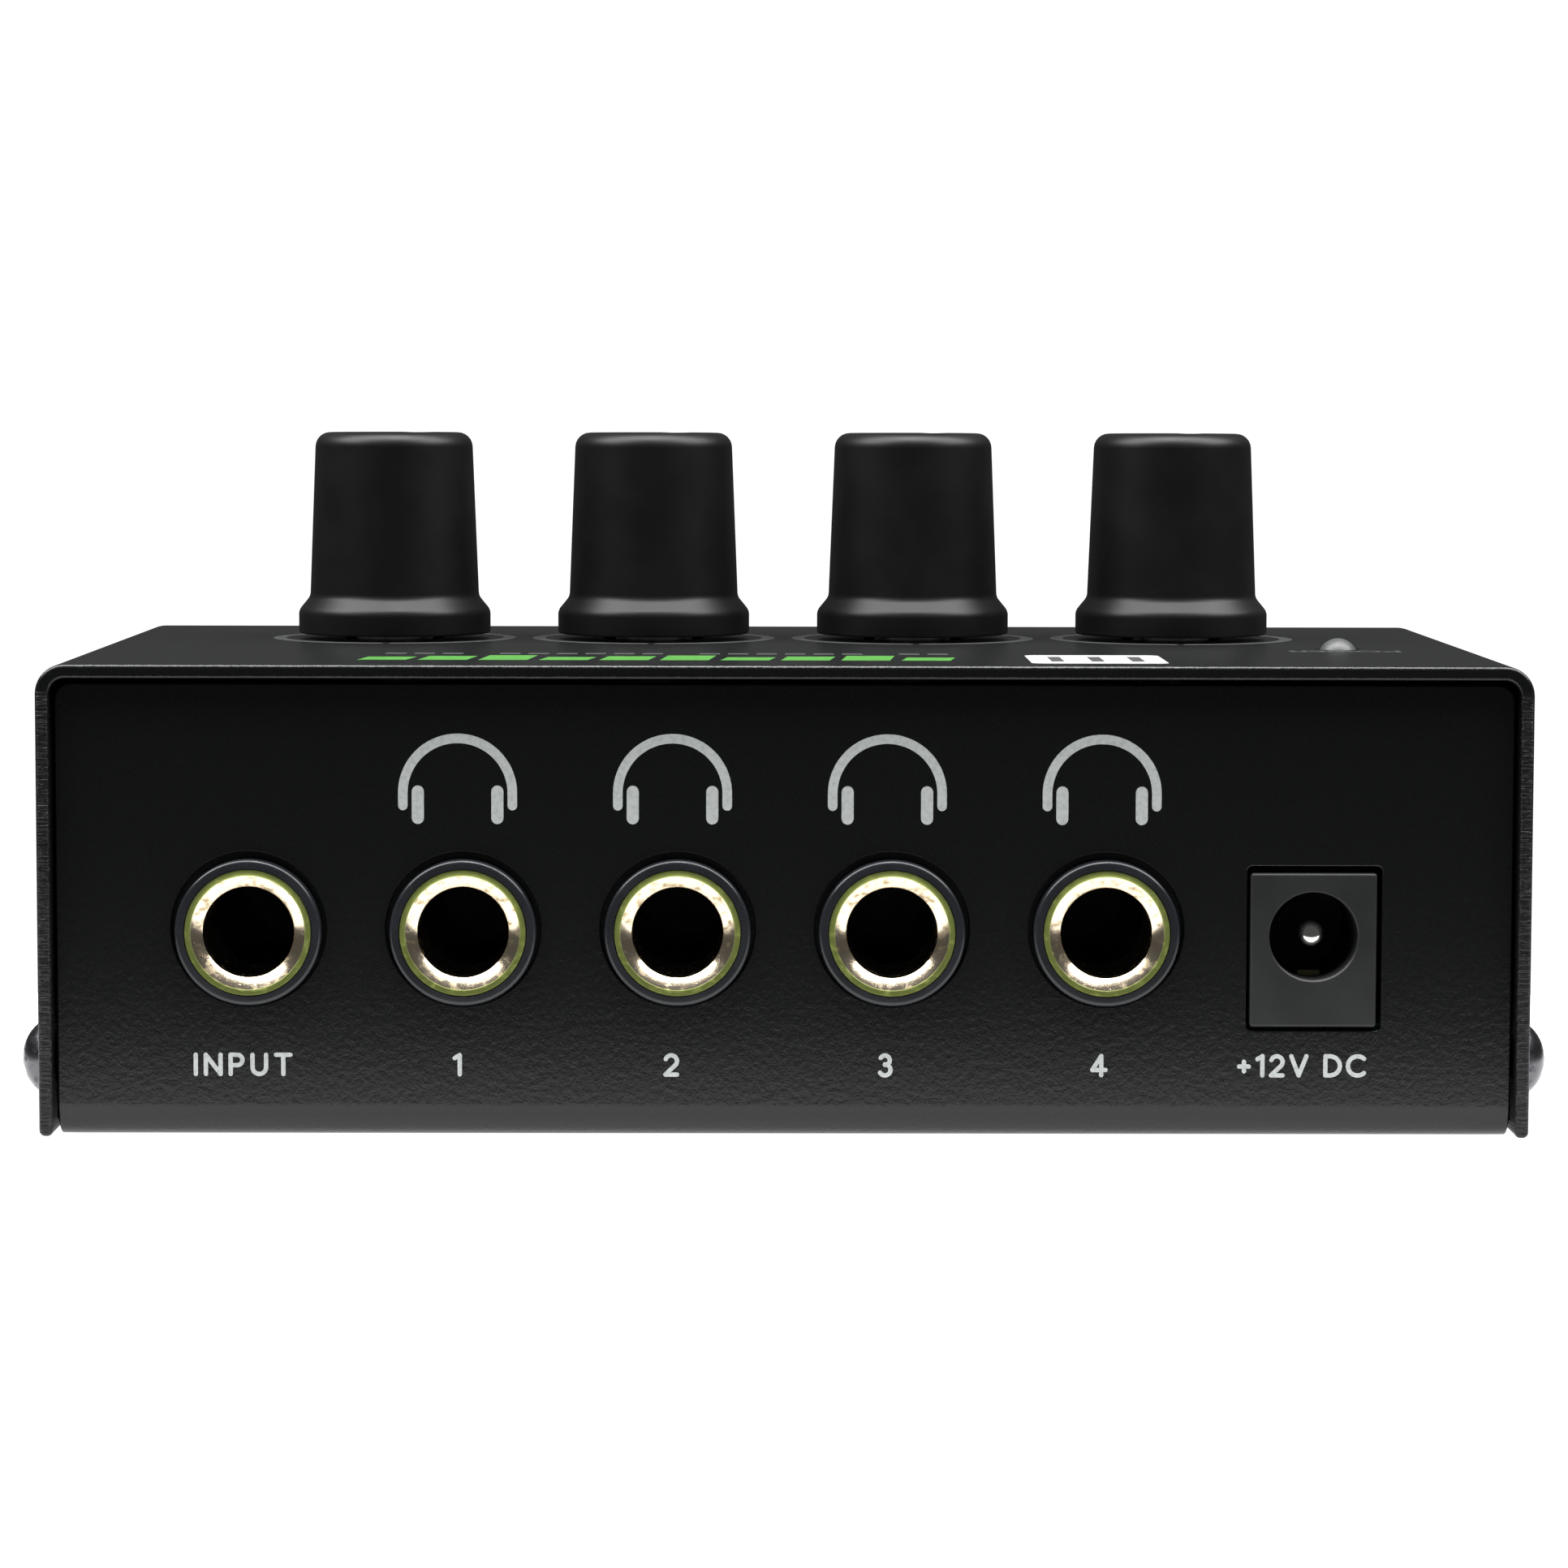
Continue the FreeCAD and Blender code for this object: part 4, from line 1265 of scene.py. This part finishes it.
class StrokeFont:
    """Plain round-ended letters and figures, each drawn with a few strokes on a height of 1."""

    BOWL = [(0.0, 1.0), (0.34, 1.0), *arc((0.34, 0.73), 0.27, 80, -80, 10), (0.34, 0.46), (0.0, 0.46)]
    CURVE_U = arc((0.35, 0.35), 0.35, 190, 350, 12)
    CURVE_D = arc((0.26, 0.5), 0.49, 82, -82, 14)
    STEM = [(0.0, 0.0), (0.0, 1.0)]
    MARKS: dict[str, tuple[float, list[list[Pair]]]] = {
        " ": (0.1, []),
        "I": (0.0, [STEM]),
        "N": (0.76, [STEM, [(0.0, 1.0), (0.76, 0.0)], [(0.76, 0.0), (0.76, 1.0)]]),
        "P": (0.61, [STEM, BOWL]),
        "R": (0.64, [STEM, BOWL, [(0.36, 0.46), (0.64, 0.0)]]),
        "U": (0.7, [[(0.0, 1.0), (0.0, 0.35), *CURVE_U, (0.7, 0.35), (0.7, 1.0)]]),
        "T": (0.74, [[(0.0, 1.0), (0.74, 1.0)], [(0.37, 1.0), (0.37, 0.0)]]),
        "1": (0.26, [[(0.0, 0.84), (0.26, 1.0)], [(0.26, 1.0), (0.26, 0.0)]]),
        "2": (0.6, [[*arc((0.3, 0.7), 0.3, 160, -38, 12), (0.0, 0.0)], [(0.0, 0.0), (0.6, 0.0)]]),
        "3": (0.6, [arc((0.29, 0.76), 0.25, 150, -90, 12), arc((0.29, 0.26), 0.29, 90, -150, 14)]),
        "4": (0.68, [[(0.46, 0.0), (0.46, 1.0)], [(0.46, 1.0), (0.0, 0.27)], [(0.0, 0.27), (0.68, 0.27)]]),
        "+": (0.5, [[(0.0, 0.46), (0.5, 0.46)], [(0.25, 0.21), (0.25, 0.71)]]),
        "V": (0.78, [[(0.0, 1.0), (0.39, 0.0)], [(0.39, 0.0), (0.78, 1.0)]]),
        "D": (0.74, [STEM, [(0.0, 1.0), (0.26, 1.0), *CURVE_D, (0.26, 0.0), (0.0, 0.0)]]),
        "C": (0.8, [arc((0.48, 0.5), 0.5, 48, 312, 18)]),
        "O": (1.0, [arc((0.5, 0.5), 0.5, 0, 180, 12), arc((0.5, 0.5), 0.5, 180, 360, 12)]),
        "W": (
            1.1,
            [
                [(0.0, 1.0), (0.28, 0.0)],
                [(0.28, 0.0), (0.55, 1.0)],
                [(0.55, 1.0), (0.82, 0.0)],
                [(0.82, 0.0), (1.1, 1.0)],
            ],
        ),
        "E": (0.56, [STEM, [(0.0, 1.0), (0.56, 1.0)], [(0.0, 0.5), (0.5, 0.5)], [(0.0, 0.0), (0.56, 0.0)]]),
    }

    @classmethod
    def strokes(cls, text: str, width: float, height: float, stroke: float) -> list[list[Pair]]:
        """Lay out a label centred on the origin.

        Args:
            text: The letters and figures.
            width: The label's full width.
            height: The full height of a capital.
            stroke: The width of a stroke.

        Returns:
            The strokes' middle lines.
        """
        scale = height - stroke
        ink = sum(cls.MARKS[c][0] for c in text) * scale
        gap = (width - stroke - ink) / max(len(text) - 1, 1)
        x = -(ink + gap * (len(text) - 1)) / 2
        found = []
        for mark in text:
            advance, paths = cls.MARKS[mark]
            found += [[(x + u * scale, (v - 0.5) * scale) for u, v in path] for path in paths]
            x += advance * scale + gap
        return found


@dataclass
class Printing:
    """Everything that is screen-printed on the panel and on the top."""

    finishes: Finishes
    jacks: Sequence[str]
    knobs: Sequence[str]
    ink: float = 0.02 * MM
    sunk: float = 0.03 * MM
    panel_y: float = field(init=False)
    top_z: float = field(init=False)
    stroke: float = 0.31 * MM
    capital: float = 1.69 * MM
    label_drop: float = 9.5 * MM
    label_shift: float = -0.45 * MM
    icon_shift: float = -0.36 * MM
    icon_rise: float = 9.92 * MM
    band_radius: float = 3.88 * MM
    band_stroke: float = 0.68 * MM
    band_foot: float = 9.02 * MM
    cup_offset: float = 2.82 * MM
    cup_stroke: float = 0.86 * MM
    cup_span: Pair = (8.13 * MM, 10.02 * MM)
    ring: float = 9.0 * MM
    ring_stroke: float = 1.0 * MM
    ring_gap: float = 4.5
    input_width: float = 7.05 * MM
    inlet_width: float = 9.2 * MM
    inlet_shift: float = -0.3 * MM
    meter_x: float = -29.0 * MM
    meter_pitch: float = 4.35 * MM
    meter_bars: int = 10
    meter_span: Pair = (6.4 * MM, 10.4 * MM)
    meter_rise: float = 1.1 * MM
    meter_steps: int = 3
    bar_width: float = 3.5 * MM
    bar_slant: float = 0.5 * MM
    dash_x: float = -28.6 * MM
    dash_pitch: float = 2.1 * MM
    dash_span: Pair = (14.2 * MM, 15.8 * MM)
    dash_width: float = 1.5 * MM
    dash_groups: Sequence[range] = (range(0, 3), range(4, 10), range(11, 17), range(18, 20))
    badge_x: Pair = (17.6 * MM, 27.4 * MM)
    badge_span: Pair = (3.0 * MM, 14.0 * MM)
    badge_corner: float = 0.9 * MM
    slat_x: tuple[float, float, float] = (19.6 * MM, 22.5 * MM, 25.4 * MM)
    slat_span: Pair = (5.6 * MM, 11.4 * MM)
    slat_width: float = 0.9 * MM
    lamp_row: float = 20.0 * MM
    lamp_width: float = 8.4 * MM
    lamp_capital: float = 2.0 * MM
    lamp_stroke: float = 0.35 * MM

    def __post_init__(self) -> None:
        """Find the two printed surfaces."""
        self.panel_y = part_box("lower_chassis")[0].y
        self.top_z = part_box("top_cover")[1].z

    def on_panel(self, name: str, strokes: Strokes, material: bpy.types.Material) -> None:
        """Print (path, width) strokes, given as X and Z, on the jack panel."""
        low, high = self.panel_y - self.ink, self.panel_y + self.sunk
        self.lay(name, [ribbon(*stroke) for stroke in strokes], Axis.Y, low, high, material)

    def on_top(self, name: str, strokes: Strokes, material: bpy.types.Material) -> None:
        """Print (path, width) strokes, given as X and Y, on the cover's top."""
        self.shapes_on_top(name, [ribbon(*stroke) for stroke in strokes], material)

    def shapes_on_top(
        self, name: str, outlines: Iterable[Sequence[Pair]], material: bpy.types.Material
    ) -> None:
        """Print filled outlines, given as X and Y, on the cover's top."""
        self.lay(name, outlines, Axis.Z, self.top_z - self.sunk, self.top_z + self.ink, material)

    def on_badge(self, name: str, outlines: Iterable[Sequence[Pair]], material: bpy.types.Material) -> None:
        """Print filled outlines over ink that already lies on the cover's top."""
        self.lay(name, outlines, Axis.Z, self.top_z, self.top_z + 1.5 * self.ink, material)

    def lay(
        self,
        name: str,
        outlines: Iterable[Sequence[Pair]],
        axis: Axis,
        low: float,
        high: float,
        material: bpy.types.Material,
    ) -> None:
        """Make one print from its outlines, joined where they cross."""
        parts = [prism("shape", outline, axis, low, high) for outline in outlines]
        base = parts[0]
        base.name = name
        combine(base, "UNION", *parts[1:])
        dress(base, material, CASE)

    def build_icons(self) -> None:
        """A headphone sign over each output socket."""
        for name in self.jacks[1:]:
            socket = middle(f"jack_ferrule_{name}")
            x, z = socket.x + self.icon_shift, socket.z
            band = [(x + self.band_radius, z + self.band_foot)]
            band += arc((x, z + self.icon_rise), self.band_radius, 0, 180, 36)
            band.append((x - self.band_radius, z + self.band_foot))
            strokes = [(band, self.band_stroke)]
            for side in (-1, 1):
                cup = [(x + side * self.cup_offset, z + height) for height in self.cup_span]
                strokes.append((cup, self.cup_stroke))
            self.on_panel(f"print_headphones_{name}", strokes, self.finishes.print_grey)

    def build_labels(self) -> None:
        """The plain words and numbers under the sockets and the inlet."""
        row = middle(f"jack_ferrule_{self.jacks[0]}").z - self.label_drop
        inlet = middle("dc_inlet_housing").x + self.inlet_shift
        labels = [("INPUT", "INPUT", middle("jack_ferrule_input").x, self.input_width)]
        labels += [(name, name, middle(f"jack_ferrule_{name}").x, 0.0) for name in self.jacks[1:]]
        labels.append(("inlet", "+12V DC", inlet, self.inlet_width))
        for name, text, x, width in labels:
            centre = x + self.label_shift
            paths = StrokeFont.strokes(text, width, self.capital, self.stroke)
            strokes = [([(centre + u, row + v) for u, v in path], self.stroke) for path in paths]
            self.on_panel(f"print_label_{name}", strokes, self.finishes.print_grey)

    def build_rings(self) -> None:
        """A scale ring round each knob, broken at its middle mark."""
        for number, knob in enumerate(self.knobs, start=1):
            hub = middle(knob)
            path = arc((hub.x, hub.y), self.ring, -90 + self.ring_gap, 270 - self.ring_gap, 96)
            self.on_top(f"print_ring_{number}", [(path, self.ring_stroke)], self.finishes.print_dim)

    def slabs(
        self, places: Iterable[tuple[float, Pair]], width: float, slant: float = 0.0
    ) -> list[list[Pair]]:
        """Square-ended bars that run back from the jack panel's edge.

        Args:
            places: (X, (nearest, furthest)), the last two counted from that edge.
            width: Their width.
            slant: How far the far end leans to +X.

        Returns:
            Their outlines.
        """
        edge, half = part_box("top_cover")[0].y, width / 2
        outlines = []
        for x, (near, far) in places:
            corners = ((-half, near), (half, near), (half + slant, far), (slant - half, far))
            outlines.append([(x + across, edge + along) for across, along in corners])
        return outlines

    def build_meter(self) -> None:
        """A row of bars like a level meter, and a row of dashes behind it, in place of lettering."""
        near, far = self.meter_span
        bars = [
            (self.meter_x + self.meter_pitch * i, (near, far + self.meter_rise * (i % self.meter_steps)))
            for i in range(self.meter_bars)
        ]
        outlines = self.slabs(bars, self.bar_width, self.bar_slant)
        self.shapes_on_top("print_green_meter", outlines, self.finishes.print_green)
        places = [self.dash_x + self.dash_pitch * i for group in self.dash_groups for i in group]
        dashes = [(x, self.dash_span) for x in places]
        outlines = self.slabs(dashes, self.dash_width)
        self.shapes_on_top("print_grey_dashes", outlines, self.finishes.print_dim)

    def build_badge(self) -> None:
        """A white plate with three slats like a grille."""
        edge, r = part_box("top_cover")[0].y, self.badge_corner
        (left, right), (near, far) = self.badge_x, self.badge_span
        corners = ((left, near), (left, far), (right, far), (right, near))
        plate = rounded([(x, edge + y, r) for x, y in corners], 6)
        self.shapes_on_top("print_white_badge", [plate], self.finishes.print_white)
        slats = self.slabs([(x, self.slat_span) for x in self.slat_x], self.slat_width)
        self.on_badge("print_badge_slats", slats, self.finishes.print_dim)

    def build_lamp_label(self) -> None:
        """The lamp's label, to be read from the knobs' side."""
        lamp, row = middle("power_led"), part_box("top_cover")[0].y + self.lamp_row
        paths = StrokeFont.strokes("POWER", self.lamp_width, self.lamp_capital, self.lamp_stroke)
        strokes = [([(lamp.x - u, row - v) for u, v in path], self.lamp_stroke) for path in paths]
        self.on_top("print_label_lamp", strokes, self.finishes.print_dim)

    def build(self) -> None:
        """Print everything."""
        self.build_icons()
        self.build_labels()
        self.build_rings()
        self.build_meter()
        self.build_badge()
        self.build_lamp_label()


# --- what stays as the CAD made it --------------------------------------------------------------
def paint_cad_nodes(finishes: Finishes, jacks: Sequence[str], knobs: Sequence[str]) -> None:
    """Give every CAD node that is still shown its finish."""
    plain = {
        "main_board": finishes.board,
        "board_standoffs": finishes.zinc,
        "board_screws": finishes.zinc,
        "electrolytic_capacitors": finishes.sleeve,
        "amplifier_chips": finishes.epoxy,
        "voltage_regulator": finishes.epoxy,
        "small_parts": finishes.epoxy,
        "led_holder": finishes.inner,
        "pot_brackets": finishes.zinc,
        # The inlet spring and the socket springs and contacts take the very dark metal, which is painted
        # shade.
        "dc_inlet_spring": finishes.spring_painted_shade,
    }
    plain |= {f"jack_tip_spring_{name}": finishes.spring_painted_shade for name in jacks}
    plain |= {f"jack_contacts_{name}": finishes.spring_painted_shade for name in jacks}
    for number in range(1, len(knobs) + 1):
        plain[f"pot_shaft_{number}"] = finishes.zinc
        plain[f"pot_wiper_{number}"] = finishes.inner
        plain[f"pot_body_{number}"] = finishes.inner
    for node, material in plain.items():
        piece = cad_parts[node]
        piece.data.materials.clear()
        piece.data.materials.append(material)
        log.info("%s: painted %s", node, material.name)


# --- the studio -------------------------------------------------------------------------------
@dataclass
class Studio:
    """A white floor, soft lamps and the camera."""

    floor_size: Pair = (0.22, 0.12)
    floor_front: float = -0.0575
    floor_white: Colour = (0.25, 0.25, 0.25)
    floor_shade: Colour = (0.23, 0.23, 0.23)
    floor_cloud: float = 0.4
    floor_glow: float = 1.0
    world_light: float = 0.07
    box_offset: float = 0.235
    box_y: float = -0.07
    box_height: float = 0.48
    box_size: Pair = (0.36, 0.6)
    box_power: float = 7.6
    world_backdrop: float = 1.1
    camera_place: tuple[float, float, float] = (-0.00166, -0.364, 0.05362)
    pitch_down: float = 4.637
    turn_right: float = 0.27
    roll: float = 0.12
    lens: float = 109.15
    clip_start: float = 0.01

    def build_floor(self) -> None:
        """A pale opal floor, lit a little from below, that ends where the white backdrop takes over."""
        deselect()
        width, depth = self.floor_size
        bpy.ops.mesh.primitive_plane_add(size=1, location=(0, self.floor_front + depth / 2, 0))
        floor = bpy.context.object
        floor.scale = (width, depth, 1)
        bpy.ops.object.transform_apply(location=True, rotation=True, scale=True)
        floor.name = "floor"
        n = Nodes("pale_floor")
        cloud = n.noise([self.floor_cloud] * 3)
        opal = n.surface(
            Base_Color=n.blend(cloud, opaque(self.floor_shade), opaque(self.floor_white)),
            Roughness=0.9,
            Emission_Color=opaque((1.0, 1.0, 1.0)),
            Emission_Strength=self.floor_glow,
        )
        floor.data.materials.append(opal)

    def build_world(self) -> None:
        """White behind the object for the camera, and dim for everything else."""
        world = bpy.data.worlds.new("studio")
        bpy.context.scene.world = world
        world.use_nodes = True
        tree = world.node_tree
        tree.nodes.clear()
        path = tree.nodes.new("ShaderNodeLightPath")
        mix = tree.nodes.new("ShaderNodeMixShader")
        output = tree.nodes.new("ShaderNodeOutputWorld")
        for slot, strength in ((1, self.world_light), (2, self.world_backdrop)):
            shade = tree.nodes.new("ShaderNodeBackground")
            shade.inputs["Strength"].default_value = strength
            shade.inputs["Color"].default_value = opaque((1.0, 1.0, 1.0))
            tree.links.new(shade.outputs[0], mix.inputs[slot])
        tree.links.new(path.outputs["Is Camera Ray"], mix.inputs[0])
        tree.links.new(mix.outputs[0], output.inputs["Surface"])

    def build_lights(self) -> None:
        """Two long lamps overhead, one to each side, both turned to the middle of the floor."""
        aim = Vector((0, self.box_y, 0))
        for name, x in (("left_box", -self.box_offset), ("right_box", self.box_offset)):
            place = Vector((x, self.box_y, self.box_height))
            lamp = bpy.data.lights.new(name, "AREA")
            lamp.shape = "RECTANGLE"
            lamp.size, lamp.size_y = self.box_size
            lamp.energy = self.box_power
            holder = bpy.data.objects.new(name, lamp)
            bpy.context.scene.collection.objects.link(holder)
            holder.location = place
            holder.rotation_euler = (aim - place).to_track_quat("-Z", "Y").to_euler()

    def build_camera(self) -> None:
        """A long lens, level with the top of the knobs."""
        camera = bpy.data.cameras.new("camera")
        camera.lens = self.lens
        camera.clip_start = self.clip_start
        holder = bpy.data.objects.new("camera", camera)
        bpy.context.scene.collection.objects.link(holder)
        holder.location = self.camera_place
        turn = Matrix.Rotation(-math.radians(self.turn_right), 3, "Z")
        tilt = Matrix.Rotation(math.radians(90 - self.pitch_down), 3, "X")
        holder.rotation_euler = (turn @ tilt @ Matrix.Rotation(math.radians(self.roll), 3, "Z")).to_euler()
        bpy.context.scene.camera = holder

    def build(self) -> None:
        """Set the studio up."""
        self.build_floor()
        self.build_world()
        self.build_lights()
        self.build_camera()
        bpy.context.scene.view_settings.view_transform = "Standard"


def main() -> None:
    """Build the amplifier's looks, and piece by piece."""
    logging.basicConfig(level=logging.INFO, format="%(name)s %(message)s")
    knobs = [f"knob_{number}" for number in range(1, 5)]
    jacks = ["input", "1", "2", "3", "4"]
    Studio().build()
    finishes = Finishes()
    FoldedCase(finishes, knobs, jacks).build()
    Fasteners(finishes).build()
    Feet(finishes).build()
    JackSocket(finishes, jacks).build()
    PowerInlet(finishes).build()
    PowerLamp(finishes).build()
    for number in range(1, len(knobs) + 1):
        VolumeKnob(finishes, number).build()
    Printing(finishes, jacks, knobs).build()
    paint_cad_nodes(finishes, jacks, knobs)


if __name__ == "__main__":
    main()
